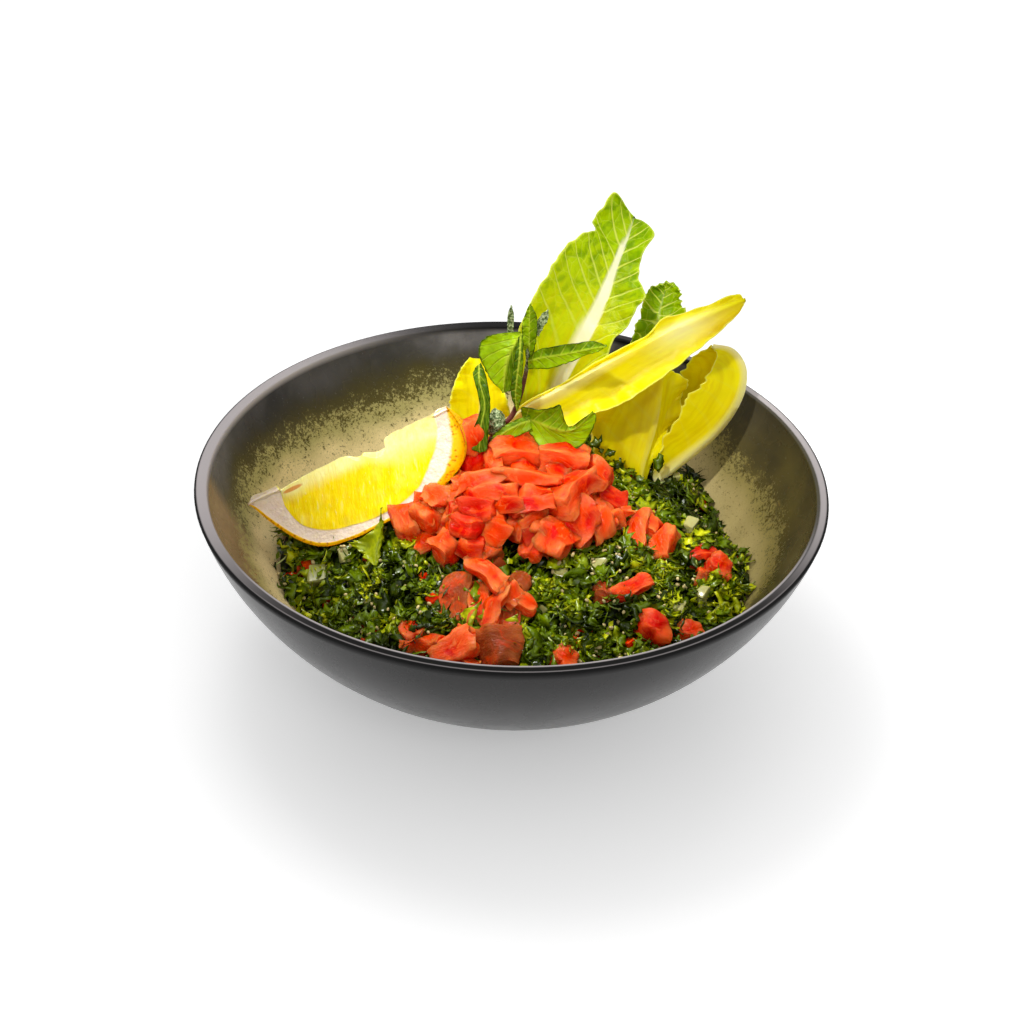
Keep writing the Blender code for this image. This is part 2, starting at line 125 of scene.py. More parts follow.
class BowlSettings(bpy.types.PropertyGroup):
    radius: length_prop(
        "Radius", "Radius over the rim", (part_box("bowl")[1].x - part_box("bowl")[0].x) / 2
    )
    height: length_prop("Height", "Height of the rim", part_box("bowl")[1].z)
    wall: length_prop("Wall", "Thickness of the wall", 0.0047)
    foot: length_prop("Foot", "Outer radius of the foot ring", 0.035)
    steps: IntProperty(name="Steps", description="Sides of the turned shape", default=160, min=24)
    glaze: colour_prop("Glaze", "Black glaze", (32, 31, 31))
    olive: colour_prop("Thin glaze", "Where the glaze runs thin and olive", (112, 100, 48))
    sand: colour_prop("Sand", "Bare sand-coloured band inside", (234, 212, 156))
    speck: colour_prop("Specks", "Where the glaze breaks", (172, 162, 102))
    # This colour paints a sheen, a reflection on the glaze near the rim, and also colours pale specks.
    sheen_and_specks: colour_prop("Haze", "Milky bloom in the glaze near the rim", (118, 114, 116))
    brown_patch: colour_prop("Stain", "Smooth brown patch at the left", (146, 118, 84))
    # The lip colour stands both for glaze thinned over the lip and for painted highlights along it.
    thin_edge_and_highlight: colour_prop("Lip", "Glaze that thins over the lip", (196, 188, 188))


class SaladSettings(bpy.types.PropertyGroup):
    leaves: count_prop("Leaf bits", "Cut parsley leaves", 2300)
    crumbs: count_prop("Fine bits", "Finely chopped parsley", 4200)
    curls: count_prop("Curled bits", "Curled parsley tips", 1100)
    stems: count_prop("Stems", "Cut stems", 260)
    grains: count_prop("Bulgur", "Loose bulgur grains", 1100)
    onions: count_prop("Onion", "Bits of onion and cucumber", 70)
    tomatoes: count_prop("Tomato bits", "Small tomato bits in the salad", 110)
    shadow: colour_prop("Shadow", "Deep between the leaves", (10, 16, 2))
    dark: colour_prop("Dark green", "Shaded parsley", (38, 52, 0))
    green: colour_prop("Green", "Most of the parsley", (112, 136, 0))
    light: colour_prop("Light green", "The palest parsley", (216, 220, 20))
    bulgur: colour_prop("Bulgur", "Soaked bulgur", (214, 194, 130))


class TomatoSettings(bpy.types.PropertyGroup):
    flesh: colour_prop("Flesh", "Most of the tomato", (246, 64, 0))
    # Deep red is ripe flesh and skin, and also paints the shade on dice under the slices.
    deep: colour_prop("Deep red", "Ripe flesh and skin", (218, 8, 0))
    # The pale flesh colour also paints light that comes through the pieces' thin edges.
    pale: colour_prop("Pale flesh", "Flesh near the core", (255, 158, 84))
    dull: colour_prop("Dull flesh", "Soaked pieces lower down", (146, 62, 24))


class LemonSettings(bpy.types.PropertyGroup):
    zest: colour_prop("Zest", "The rind's outside", (246, 188, 0))
    pith: colour_prop("Pith", "The rind's inside", (246, 228, 208))
    flesh: colour_prop("Flesh", "Juicy flesh", (255, 224, 0))
    pale: colour_prop("Pale flesh", "Flesh near the core", (252, 232, 120))


class LettuceSettings(bpy.types.PropertyGroup):
    rib: colour_prop("Rib", "Rib and thick veins", (255, 250, 214))
    yellow: colour_prop("Yellow", "Heart of the leaf", (255, 240, 0))
    green: colour_prop("Green", "Top of the leaf", (184, 212, 0))
    # Deep green and gold also paint shade, in the folds and on the shaded halves of the leaves.
    deep: colour_prop("Deep green", "Between the veins and in the folds", (112, 156, 0))
    gold: colour_prop("Gold", "Folds of the yellow leaves", (196, 160, 0))
    thickness: length_prop("Thickness", "Thickness of a blade", 0.0009)


class MintSettings(bpy.types.PropertyGroup):
    leaf: colour_prop("Leaf", "Upper side of a leaf", (172, 206, 0))
    dark: colour_prop("Dark leaf", "Shaded and older leaf", (74, 108, 2))
    vein: colour_prop("Vein", "Veins and the underside", (214, 226, 70))
    stem: colour_prop("Stem", "Stem", (100, 28, 36))


class StageSettings(bpy.types.PropertyGroup):
    distance: length_prop("Distance", "From the camera to the middle of the picture", 0.8)
    lens: FloatProperty(name="Lens", description="Focal length in millimetres", default=83.98, min=10)
    sky: number_prop("Fill", "Brightness of the light from all round", 0.6)
    shine: number_prop("Shine", "Brightness of the surroundings in glossy things", 0.4)
    glow: number_prop("Glow", "Light that comes up through the floor", 0.3)
    sun: number_prop("Back light", "Strength of the broad light from behind", 0.5)
    key: number_prop("Key light", "Power of the soft box at the left in watts", 1.2)
    front: number_prop("Front light", "Power of the soft box at the front in watts", 1.5)
    spot: number_prop("Spot", "Power of the narrow light from behind in watts", 46)
    lift: number_prop("Front spot", "Power of the narrow light from the front in watts", 40)
    floor: colour_prop("Floor", "Plain pale floor", (252, 252, 252))


# Materials


class Finish:
    """One material's nodes, made and joined one after the other."""

    def __init__(self, name):
        self.material = bpy.data.materials.new(name)
        self.material.use_nodes = True
        self.tree = self.material.node_tree
        self.tree.nodes.clear()
        self.place = self.node("TexCoord").outputs["Object"]

    def node(self, kind, inputs=None, **settings):
        made = self.tree.nodes.new("ShaderNode" + kind)
        for name, value in settings.items():
            setattr(made, name, value)
        for name, value in (inputs or {}).items():
            self.feed(made.inputs[name], value)
        return made

    def feed(self, socket, value):
        if isinstance(value, bpy.types.NodeSocket):
            self.tree.links.new(value, socket)
        elif hasattr(value, "__len__") and socket.type == "RGBA" and len(value) == 3:
            socket.default_value = (*value, 1)
        else:
            socket.default_value = value

    def math(self, operation, a, b=0.0, c=0.0, clamp=False):
        return self.node("Math", {0: a, 1: b, 2: c}, operation=operation, use_clamp=clamp).outputs[0]

    def plus(self, a, b, clamp=False):
        return self.math("ADD", a, b, clamp=clamp)

    def times(self, a, b, clamp=False):
        return self.math("MULTIPLY", a, b, clamp=clamp)

    def scaled(self, value, factor, offset, clamp=False):
        return self.math("MULTIPLY_ADD", value, factor, offset, clamp)

    def larger(self, a, b):
        return self.math("MAXIMUM", a, b)

    def attribute(self, name):
        return self.node("Attribute", attribute_name=name).outputs["Fac"]

    def noise(self, size, detail=2.0, rough=0.5, place=None, distortion=0.0):
        """Noise from 0 to 1 whose lumps are about size across."""
        inputs = {
            "Vector": place or self.place, "Scale": 1 / size, "Detail": detail, "Roughness": rough,
            "Distortion": distortion,
        }
        return self.node("TexNoise", inputs).outputs["Fac"]

    def cells(self, size):
        """Distance to the middle of the nearest cell, for cells of this size."""
        inputs = {"Vector": self.place, "Scale": 1 / size}
        return self.node("TexVoronoi", inputs, feature="F1").outputs["Distance"]

    def step(self, value, low, high, start=0.0, end=1.0):
        """From start to end as value goes from low to high, smoothly."""
        inputs = {"Value": value, "From Min": low, "From Max": high, "To Min": start, "To Max": end}
        return self.node("MapRange", inputs, interpolation_type="SMOOTHSTEP").outputs[0]

    def mix(self, share, first, second, blend="MIX"):
        made = self.node("Mix", data_type="RGBA", blend_type=blend)
        for index, value in ((0, share), (6, first), (7, second)):
            self.feed(made.inputs[index], value)
        return made.outputs[2]

    def bump(self, height, strength, distance):
        inputs = {"Height": height, "Strength": strength, "Distance": distance}
        return self.node("Bump", inputs).outputs["Normal"]

    def finish(self, through=0.0, **inputs):
        """The finished material. A share of the light may come through from behind."""
        names = {name.replace("_", " ").title(): value for name, value in inputs.items()}
        if "Specular" in names:
            names["Specular IOR Level"] = names.pop("Specular")
        surface = self.node("BsdfPrincipled", names).outputs[0]
        if through:
            behind = self.node("BsdfTranslucent", {"Color": inputs["base_color"]}).outputs[0]
            surface = self.node("MixShader", {0: through, 1: surface, 2: behind}).outputs[0]
        self.node("OutputMaterial", {"Surface": surface})
        return self.material


def glaze_finish(settings):
    """Satin black glaze that breaks into specks over a bare sand-coloured band inside the bowl."""
    f = Finish("black_glaze")
    depth = f.attribute("band")  # centimetres below the glaze's lower edge
    x, y, z = f.node("SeparateXYZ", {0: f.place}).outputs
    level = f.plus(depth, f.scaled(f.noise(0.014, 3), 0.9, -0.45))
    inside = f.step(depth, -3.6, -3.0)
    # Fine specks, few near the rim and closing up into the bare band.
    fine = f.scaled(f.noise(0.004, 3, 0.7), 0.35, f.times(f.noise(0.0010, 4, 0.85), 0.65))
    need = f.scaled(f.step(level, -1.9, 0.7), -0.34, 0.70)
    bare = f.step(f.math("SUBTRACT", fine, need), -0.02, 0.09)
    tone = f.mix(f.step(level, -1.5, -0.2), shade(116, 112, 78), settings.speck)
    tone = f.mix(f.step(level, -0.1, 0.7), tone, settings.sand)
    grain = f.mix(f.noise(0.0007, 3, 0.8), (0.72, 0.70, 0.62), (1.22, 1.22, 1.22))
    tone = f.mix(1.0, tone, grain, "MULTIPLY")
    tone = f.mix(f.step(f.noise(0.0009, 3, 0.8), 0.60, 0.70, 0.0, 0.6), tone, shade(70, 62, 40))
    tone = f.mix(f.step(x, 0.045, 0.080, 0.0, 0.75), tone, shade(128, 114, 58))
    cloud = f.mix(
        f.noise(0.03, 3), tuple(0.7 * c for c in settings.glaze),
        tuple(1.5 * c for c in settings.glaze),
    )
    right = f.step(x, 0.02, 0.095, 0.0, 0.9)
    olive = f.times(right, f.times(f.step(level, -3.9, -1.2), f.noise(0.02, 3)))
    olive = f.larger(olive, f.times(inside, f.step(level, -1.8, -0.2, 0.0, 0.55)))
    cloud = f.mix(olive, cloud, settings.olive)
    # Painted sheen, a milky reflection on the glaze at the upper back and left with a few scratches across it,
    # and a smooth brown patch at the left.
    back = f.step(f.scaled(x, -0.5, f.times(y, 0.8)), -0.02, 0.07)
    # Painted sheen: the glaze is painted grey there as if it reflected a bright light.
    painted_sheen = f.times(f.times(back, inside), f.step(level, -0.8, -1.9))
    painted_sheen = f.times(painted_sheen, f.step(f.scaled(x, -0.77, f.times(y, 0.64)), 0.080, 0.094, 1.0, 0.4))
    painted_sheen = f.times(painted_sheen, f.step(f.noise(0.02, 4, 0.6), 0.3, 0.7, 0.4, 1.0))
    cloud = f.mix(painted_sheen, cloud, settings.sheen_and_specks)
    turned = f.node("CombineXYZ", {0: f.times(x, 0.3), 1: y, 2: f.times(z, 0.25)}).outputs[0]
    scratch = f.step(f.noise(0.0013, 2, 0.6, turned), 0.68, 0.76, 0.0, 0.7)
    cloud = f.mix(f.times(scratch, f.times(painted_sheen, f.step(x, -0.05, -0.08))), cloud, shade(24, 20, 24))
    # A smooth brown patch on the glaze at the front left of the inside.
    patch = f.times(f.step(y, 0.002, -0.008), f.times(f.step(x, -0.06, -0.08), inside))
    cloud = f.mix(f.times(patch, 0.85), cloud, settings.brown_patch)
    # Pale specks in the glaze, in the colour of the painted sheen.
    dots = f.step(f.noise(0.0011, 3, 0.75), 0.64, 0.72, 0.0, 0.45)
    cloud = f.mix(f.times(dots, inside), cloud, settings.sheen_and_specks)
    colour = f.mix(bare, cloud, tone)
    # Painted dark reflection: the lip is darkened to stand for the dark it reflects.
    colour = f.mix(f.attribute("lip"), colour, tuple(0.3 * c for c in settings.glaze))
    # Pale lip: glaze thinned over it, and painted highlights.
    colour = f.mix(f.attribute("thin_edge_and_highlight"), colour, settings.thin_edge_and_highlight)
    rough = f.mix(bare, f.mix(f.noise(0.012, 4), (0.20,) * 3, (0.34,) * 3), (0.62,) * 3)
    rough = f.mix(f.attribute("lip"), rough, (0.85,) * 3)
    relief = f.scaled(bare, 0.3, f.times(f.noise(0.0012, 3), 0.06))
    return f.finish(
        base_color=colour, roughness=rough, normal=f.bump(relief, 0.15, 0.0004), specular=0.24
    )


def parsley_finish(settings, name):
    """Moist chopped greens, each bit with its own tint."""
    f = Finish(name)
    spread = f.plus(f.attribute("tint"), f.scaled(f.noise(0.0015, 3), 0.4, -0.2))
    colour = f.mix(f.step(spread, -0.1, 0.5), settings.dark, settings.green)
    colour = f.mix(f.step(spread, 0.5, 1.05), colour, settings.light)
    normal = f.bump(f.noise(0.0009, 2), 0.5, 0.0003)
    return f.finish(base_color=colour, roughness=0.24, normal=normal, specular=0.45, through=0.28)


def core_finish(settings):
    f = Finish("salad_core")
    colour = f.mix(f.step(f.noise(0.002, 3), 0.4, 0.75), settings.shadow, settings.dark)
    return f.finish(base_color=colour, roughness=0.4, specular=0.2)


def stem_finish(settings):
    f = Finish("parsley_stem")
    colour = f.mix(f.attribute("tint"), settings.green, shade(208, 214, 140))
    colour = f.mix(f.noise(0.002, 2), colour, shade(150, 168, 70))
    return f.finish(base_color=colour, roughness=0.3, specular=0.5)


def grain_finish(settings):
    f = Finish("bulgur")
    tone = f.plus(f.times(f.attribute("tint"), 0.7), f.times(f.noise(0.0008), 0.3))
    colour = f.mix(tone, tuple(c * 0.55 for c in settings.bulgur), settings.bulgur)
    return f.finish(
        base_color=colour, roughness=0.35, subsurface_weight=0.3, subsurface_radius=(0.6, 0.5, 0.3),
        subsurface_scale=0.001,
    )


def onion_finish():
    f = Finish("onion")
    colour = f.mix(f.attribute("tint"), shade(176, 170, 112), shade(120, 128, 60))
    colour = f.mix(f.noise(0.003, 3), colour, shade(156, 152, 84))
    return f.finish(
        base_color=colour, roughness=0.22, subsurface_weight=0.5, subsurface_radius=(1.0, 0.9, 0.5),
        subsurface_scale=0.0015,
    )


def tomato_finish(settings):
    """Wet cut flesh: tint goes from dull through orange to deep red, with paler fibres along a piece and
    painted light at its thin edges.
    """
    f = Finish("tomato")
    tint = f.attribute("tint")
    grain = f.node("CombineXYZ", {
        0: f.times(f.attribute("along"), 0.4), 1: f.attribute("aside"), 2: f.attribute("above"),
    }).outputs[0]
    flow = f.scaled(f.noise(0.0075, 3, 0.6, distortion=1.0), 2.4, -1.2)
    colour = f.mix(f.step(f.scaled(flow, 0.3, tint), 0.05, 0.3), settings.dull, settings.flesh)
    colour = f.mix(f.step(f.plus(tint, flow), 0.5, 0.9), colour, settings.deep)
    streak = f.step(f.noise(0.0024, 5, 0.66, grain, 1.2), 0.50, 0.72, 0.0, 0.5)
    # Painted light: a piece is paler at its thin edges, as if lit through them.
    thin_edge_and_highlight = f.times(f.attribute("rim"), f.noise(0.0016, 2, place=grain))
    light = f.larger(streak, f.times(thin_edge_and_highlight, 0.9))
    light = f.times(light, f.times(f.step(tint, 0.95, 0.5, 0.3, 1.0), f.step(tint, 0.0, 0.4, 0.3, 1.0)))
    colour = f.mix(light, colour, settings.pale)
    colour = f.mix(f.step(f.noise(0.0011, 3, 0.7, grain), 0.60, 0.74, 0.0, 0.55), colour, settings.deep)
    relief = f.plus(f.noise(0.0020, 4, 0.68, grain), f.times(streak, 0.4))
    return f.finish(
        base_color=colour, roughness=0.13, normal=f.bump(relief, 0.8, 0.0011), specular=0.13,
        subsurface_weight=0.6,
        subsurface_radius=(1.0, 0.2, 0.03), subsurface_scale=0.005, through=0.2,
    )


def lemon_finish(settings):
    """Zest, pith and flesh by the depth under the rind, the flesh in juice sacs that lead from the core, with
    painted highlights on the sacs.
    """
    f = Finish("lemon")
    depth = f.attribute("depth")  # millimetres under the rind
    across = f.attribute("across")  # metres out from the core
    along = f.attribute("along")  # metres along the core
    slant = f.scaled(across, 0.35, along)
    place = f.node("CombineXYZ", {0: slant, 1: f.times(across, 0.22)}).outputs[0]
    sacs = f.noise(0.0019, 3, 0.65, place)
    fine = f.noise(0.0008, 3, 0.7, place)
    flesh = f.mix(f.step(sacs, 0.32, 0.6), shade(250, 208, 0), settings.flesh)
    flesh = f.mix(f.step(sacs, 0.56, 0.74, 0.0, 0.8), flesh, settings.pale)
    # Painted highlights: fine whitish flecks on the juice sacs.
    flesh = f.mix(f.step(fine, 0.62, 0.78, 0.0, 0.6), flesh, shade(255, 246, 190))
    near = f.math("DIVIDE", across, f.step(along, 0.004, 0.014, 0.0065, 0.0125))
    core = f.plus(f.step(near, 1.1, 0.3), f.scaled(f.noise(0.006, 2), 0.7, -0.35), clamp=True)
    flesh = f.mix(
        f.times(core, 0.85), flesh, f.mix(f.noise(0.002, 3), settings.pale, shade(255, 248, 190))
    )
    wavy = f.scaled(f.noise(0.006, 2), 0.8, f.math("SUBTRACT", depth, 0.4))
    pith = f.mix(f.noise(0.0025, 2), settings.pith, shade(228, 202, 172))
    inside = f.step(wavy, 2.9, 3.6)
    colour = f.mix(inside, pith, flesh)
    pores = f.cells(0.0013)
    zest = f.mix(f.step(pores, 0.05, 0.55), shade(206, 134, 0), settings.zest)
    outside = f.step(f.scaled(f.noise(0.002, 2), 0.3, depth), 1.05, 0.8)
    colour = f.mix(outside, colour, zest)
    aside = f.math("DIVIDE", f.plus(along, 0.0226), 0.0038)
    above = f.math("DIVIDE", f.math("SUBTRACT", across, 0.0026), 0.0007)
    bruise = f.plus(f.times(aside, aside), f.times(above, above))
    colour = f.mix(f.step(bruise, 1.3, 0.5, 0.0, 0.85), colour, shade(220, 138, 50))
    relief = f.mix(
        outside, f.mix(inside, f.noise(0.001, 3), f.plus(sacs, fine)), f.step(pores, 0.0, 0.45)
    )
    rough = f.mix(inside, (0.5,) * 3, (0.2,) * 3)
    return f.finish(
        base_color=colour, roughness=rough, normal=f.bump(relief, 0.5, 0.0008), subsurface_weight=0.3,
        subsurface_radius=(1.0, 0.8, 0.1), subsurface_scale=0.003, specular=0.16,
    )


def leaf_veins(f, spacing, lean, bend):
    """(strength of the side veins, net of fine veins) from the leaf's own measures in centimetres."""
    along, aside = f.attribute("along"), f.attribute("aside")
    out = f.math("ABSOLUTE", aside)
    rise = f.scaled(out, -lean, along)
    rise = f.scaled(f.times(out, out), bend, rise)
    turn = f.scaled(f.math("SIGN", aside), 0.22 * spacing, rise)
    wobble = f.scaled(f.noise(0.012, 2), 0.5 * spacing, turn)
    wave = f.math(
        "ABSOLUTE", f.math("SUBTRACT", f.math("FRACT", f.math("DIVIDE", wobble, spacing)), 0.5)
    )
    width = f.step(f.attribute("share"), 0.0, 1.0, 0.15, 0.05)
    side_veins = f.times(
        f.math("SUBTRACT", 1.0, f.math("DIVIDE", wave, width), clamp=True), 1.6, clamp=True
    )
    flat = f.node("CombineXYZ", {0: along, 1: aside}).outputs[0]
    net = f.node(
        "TexVoronoi", {"Vector": flat, "Scale": 1.3 / spacing}, feature="DISTANCE_TO_EDGE"
    ).outputs[0]
    return side_veins, net


def lettuce_finish(settings):
    """Thin leaf whose colour runs from yellow to green, darker between pale side veins, with painted shade on
    its shaded halves and in its folds.
    """
    f = Finish("lettuce")
    veins, net = leaf_veins(f, 0.78, 0.66, 0.02)
    along, aside = f.attribute("along"), f.attribute("aside")
    green = f.plus(f.attribute("green"), f.scaled(f.noise(0.012, 3), 0.5, -0.25), clamp=True)
    blade = f.mix(green, settings.yellow, settings.green)
    leafy = f.step(f.attribute("green"), 0.45, 0.95)
    patch = f.times(f.step(f.noise(0.0042, 3, 0.55, distortion=0.6), 0.40, 0.68), leafy)
    blade = f.mix(f.times(patch, 0.75), blade, settings.deep)
    # Painted shade: shaded halves and folds darken to gold on yellow leaves and to deep green on green ones.
    fold_shade = f.mix(leafy, settings.gold, settings.deep)
    blade = f.mix(f.times(f.attribute("shade"), 0.8), blade, fold_shade)
    streaks = f.node("CombineXYZ", {0: f.times(along, 0.12), 1: aside}).outputs[0]
    streaks = f.node("TexNoise", {"Vector": streaks, "Scale": 5.0, "Detail": 3.0}).outputs["Fac"]
    faint = f.times(f.step(streaks, 0.42, 0.66, 0.0, 0.4), f.math("SUBTRACT", 1.0, leafy))
    blade = f.mix(faint, blade, shade(224, 196, 0))
    cells_ = f.times(f.step(net, 0.035, 0.0, 0.0, 0.3), leafy)
    line = f.larger(cells_, f.times(veins, f.scaled(leafy, 0.8, 0.06)))
    colour = f.mix(line, blade, shade(236, 244, 110))
    edge = f.step(f.attribute("share"), 0.955, 0.995, 0.0, 0.5)
    colour = f.mix(edge, colour, shade(240, 246, 120))
    colour = f.mix(f.attribute("rib"), colour, settings.rib)
    relief = f.times(f.times(f.step(net, 0.0, 0.3), 0.4), leafy)
    relief = f.plus(relief, f.times(veins, f.times(leafy, -0.8)))
    relief = f.plus(relief, f.times(f.noise(0.005, 3), f.scaled(leafy, 1.0, 0.5)))
    relief = f.plus(relief, f.times(streaks, 0.25))
    relief = f.times(relief, f.math("SUBTRACT", 1.0, f.attribute("rib"), clamp=True))
    return f.finish(
        base_color=colour, roughness=0.36, normal=f.bump(relief, 0.6, 0.0012), specular=0.12,
        subsurface_weight=0.35,
        subsurface_radius=(1.0, 0.9, 0.05), subsurface_scale=0.003, through=0.36,
    )


def mint_finish(settings):
    f = Finish("mint_leaf")
    veins, net = leaf_veins(f, 0.34, 0.9, 0.3)
    tone = f.plus(f.attribute("green"), f.scaled(f.noise(0.0035, 3, 0.6), 1.2, -0.55), clamp=True)
    # Painted shade: the shaded half of a leaf is darker.
    tone = f.plus(tone, f.times(f.attribute("shade"), 0.7), clamp=True)
    blade = f.mix(tone, settings.leaf, settings.dark)
    colour = f.mix(f.times(veins, 0.35), blade, settings.vein)
    colour = f.mix(f.times(f.attribute("rib"), 0.6), colour, settings.vein)
    edge = f.scaled(f.noise(0.003, 2), 0.16, f.attribute("share"))
    colour = f.mix(f.step(edge, 1.0, 1.06, 0.0, 0.85), colour, tuple(0.35 * c for c in settings.dark))
    relief = f.plus(f.step(net, 0.0, 0.35, 0.0, 0.3), f.times(veins, -0.7))
    relief = f.plus(relief, f.noise(0.003, 3))
    return f.finish(
        base_color=colour, roughness=0.34, normal=f.bump(relief, 0.7, 0.0008), specular=0.14,
        through=0.3,
    )


def mint_stem_finish(settings):
    f = Finish("mint_stem")
    colour = f.mix(f.noise(0.003, 3), settings.stem, shade(98, 62, 40))
    fuzz = f.mix(f.step(f.noise(0.0007, 3), 0.40, 0.66), shade(62, 84, 30), shade(176, 188, 138))
    colour = f.mix(f.attribute("green"), colour, fuzz)
    normal = f.bump(f.noise(0.0006, 3), 0.8, 0.0005)
    return f.finish(base_color=colour, roughness=0.55, normal=normal, specular=0.3)


# Shapes


def smooth_path(points, share):
    """The place at a share from 0 to 1 along a Catmull-Rom curve through the points."""
    spans = len(points) - 1
    at = min(max(share, 0.0), 1.0) * spans
    first = min(int(at), spans - 1)
    t = at - first
    p1, p2 = points[first], points[first + 1]
    p0 = points[first - 1] if first else p1 * 2 - p2
    p3 = points[first + 2] if first + 2 <= spans else p2 * 2 - p1
    return 0.5 * (
        2 * p1 + (p2 - p0) * t + (2 * p0 - 5 * p1 + 4 * p2 - p3) * t**2
        + (3 * p1 - p0 - 3 * p2 + p3) * t**3
    )


def spun(profile, steps):
    """A surface of revolution about Z from (radius, height) points that start and end on the axis."""
    bm = bmesh.new()
    verts = [bm.verts.new((radius, 0, height)) for radius, height in profile]
    edges = [bm.edges.new(pair) for pair in zip(verts, verts[1:])]
    bmesh.ops.spin(
        bm, geom=verts + edges, cent=(0, 0, 0), axis=(0, 0, 1), angle=math.tau, steps=steps,
        use_merge=True
    )
    bmesh.ops.remove_doubles(bm, verts=bm.verts, dist=1e-6)
    bmesh.ops.dissolve_degenerate(bm, edges=bm.edges, dist=1e-6)
    return bm


def float_layer(bm, name):
    return bm.verts.layers.float.get(name) or bm.verts.layers.float.new(name)


def fill_layer(bm, name, value_at):
    """Give every point of the mesh a value for the materials."""
    layer = float_layer(bm, name)
    for vert in bm.verts:
        vert[layer] = value_at(vert)


def facing_out(bm):
    bmesh.ops.recalc_face_normals(bm, faces=bm.faces)
    if bm.calc_volume(signed=True) < 0:
        bmesh.ops.reverse_faces(bm, faces=bm.faces)


def add_piece(name, mesh_or_bm, material, nodes, sharp_deg=180.0):
    """Put a finished piece at the origin, to ride with the bowl and stand for these nodes."""
    mesh = mesh_or_bm
    if isinstance(mesh, bmesh.types.BMesh):
        mesh = bpy.data.meshes.new(name)
        mesh_or_bm.to_mesh(mesh)
        mesh_or_bm.free()
    mesh.name = name
    mesh.materials.append(material)
    mesh.shade_smooth()
    if sharp_deg < 180:
        mesh.set_sharp_from_angle(angle=math.radians(sharp_deg))
    obj = bpy.data.objects.new(name, mesh)
    bpy.context.scene.collection.objects.link(obj)
    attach(obj, "root")
    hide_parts(*nodes)


# The bowl


def on_sphere(radius, angle):
    return radius * math.sin(angle), SPHERE_CENTRE_Z - radius * math.cos(angle)


def wall_z(radius, inner):
    return max(FLOOR_Z, SPHERE_CENTRE_Z - math.sqrt(max(inner**2 - radius**2, 0)))


def bowl_profile(settings):
    """(radius, height) from the middle of the underside out, up, over the lip and down to the floor."""
    inner = OUTER_SPHERE - settings.wall
    belly = math.asin(BELLY_RADIUS / OUTER_SPHERE)
    floor = math.acos((SPHERE_CENTRE_Z - FLOOR_Z) / inner)
    ring = 0.004
    foot_in, ease = settings.foot - ring, ring / 8
    points = [
        (0, RECESS_Z), (foot_in / 2, RECESS_Z), (foot_in - 4 * ease, RECESS_Z),
        (foot_in - ease, RECESS_Z - ease),
    ]
    points += [(foot_in, ease), (foot_in + ease, 0), (settings.foot - ease, 0), (settings.foot, ease)]
    foot_top = (settings.foot + 2 * ease, FOOT_HEIGHT)
    points.append((settings.foot + ease / 2, FOOT_HEIGHT - 2 * ease))
    meet = on_sphere(OUTER_SPHERE, belly)
    lift = FOOT_HEIGHT - (SPHERE_CENTRE_Z - math.sqrt(OUTER_SPHERE**2 - foot_top[0] ** 2))
    for k in range(8):
        share = k / 8
        radius = foot_top[0] + (meet[0] - foot_top[0]) * share
        height = SPHERE_CENTRE_Z - math.sqrt(OUTER_SPHERE**2 - radius**2)
        points.append((radius, height + lift * (1 - share) ** 2))
    # The wall thins a little on its outside just under the flat lip.
    top, round_out, round_in = settings.height, LIP_ROUND_OUT, LIP_ROUND_IN
    under_lip = math.acos((SPHERE_CENTRE_Z - top + round_out) / OUTER_SPHERE)
    taper = OUTER_SPHERE * math.sin(under_lip) - settings.radius
    for k in range(33):
        angle = belly + (under_lip - belly) * k / 32
        radius, height = on_sphere(OUTER_SPHERE, angle)
        points.append((radius - taper * max(0, (k - 22) / 10) ** 2, height))
    for k in range(1, 6):
        turn = math.pi / 2 * k / 5
        points.append((
            settings.radius - round_out * (1 - math.cos(turn)), top - round_out * (1 - math.sin(turn))
        ))
    inner_top = math.acos((SPHERE_CENTRE_Z - top + round_in) / inner)
    inner_radius = inner * math.sin(inner_top)
    out, back = settings.radius - round_out, inner_radius + round_in
    points += [(out + (back - out) * k / 12, top) for k in range(1, 12)]
    for k in range(6):
        turn = math.pi / 2 * k / 5
        points.append((back - round_in * math.sin(turn), top - round_in * (1 - math.cos(turn))))
    points += [on_sphere(inner, inner_top + (floor - inner_top) * k / 60) for k in range(1, 61)]
    points += [(0.012, FLOOR_Z), (0, FLOOR_Z)]
    return points


# Height of the glaze's lower edge inside, at places round the bowl in degrees from +X.
GLAZE_EDGE = (
    (-150, 0.036), (-70, 0.034), (-30, 0.034), (-20, 0.038), (-9, 0.046), (10, 0.0490), (29, 0.0490),
    (40, 0.0530),
    (90, 0.0510), (132, 0.0490), (150, 0.0510), (166, 0.0530), (176, 0.0500), (188, 0.0475),
    (196, 0.0455),
    (210, 0.039),
)


def lip_wear_and_highlight(azimuth, inward):
    """How far the glaze has thinned on the lip and how strong its painted highlights are, where inward is 0 at
    its outer edge and 1 at its inner.
    """
    turned = math.degrees(azimuth) % 360

    def near(middle_deg, width_deg):
        return math.exp(-((((turned - middle_deg + 180) % 360 - 180) / width_deg) ** 4))

    def line(middle, width):
        return math.exp(-(((inward - middle) / width) ** 4))

    left, right = near(168, 48), near(15, 42)
    front = min(max(0.0, -3 * math.sin(azimuth)), 1) * (1 - max(left, right))
    broad = min(max((inward - 0.14) / 0.08, 0), 1) * 0.85
    broad *= max(left, right * min(max((0.72 - inward) / 0.1, 0), 1))
    return max(broad, max(line(0.86, 0.11) * 0.9, line(0.20, 0.05) * 0.45) * front)


def glaze_edge(azimuth):
    degrees = (math.degrees(azimuth) + 150) % 360 - 150
    for (a, low), (b, high) in zip(GLAZE_EDGE, GLAZE_EDGE[1:]):
        if a <= degrees <= b:
            share = (degrees - a) / (b - a)
            return low + (high - low) * share * share * (3 - 2 * share)
    raise ValueError("the azimuth is outside GLAZE_EDGE")


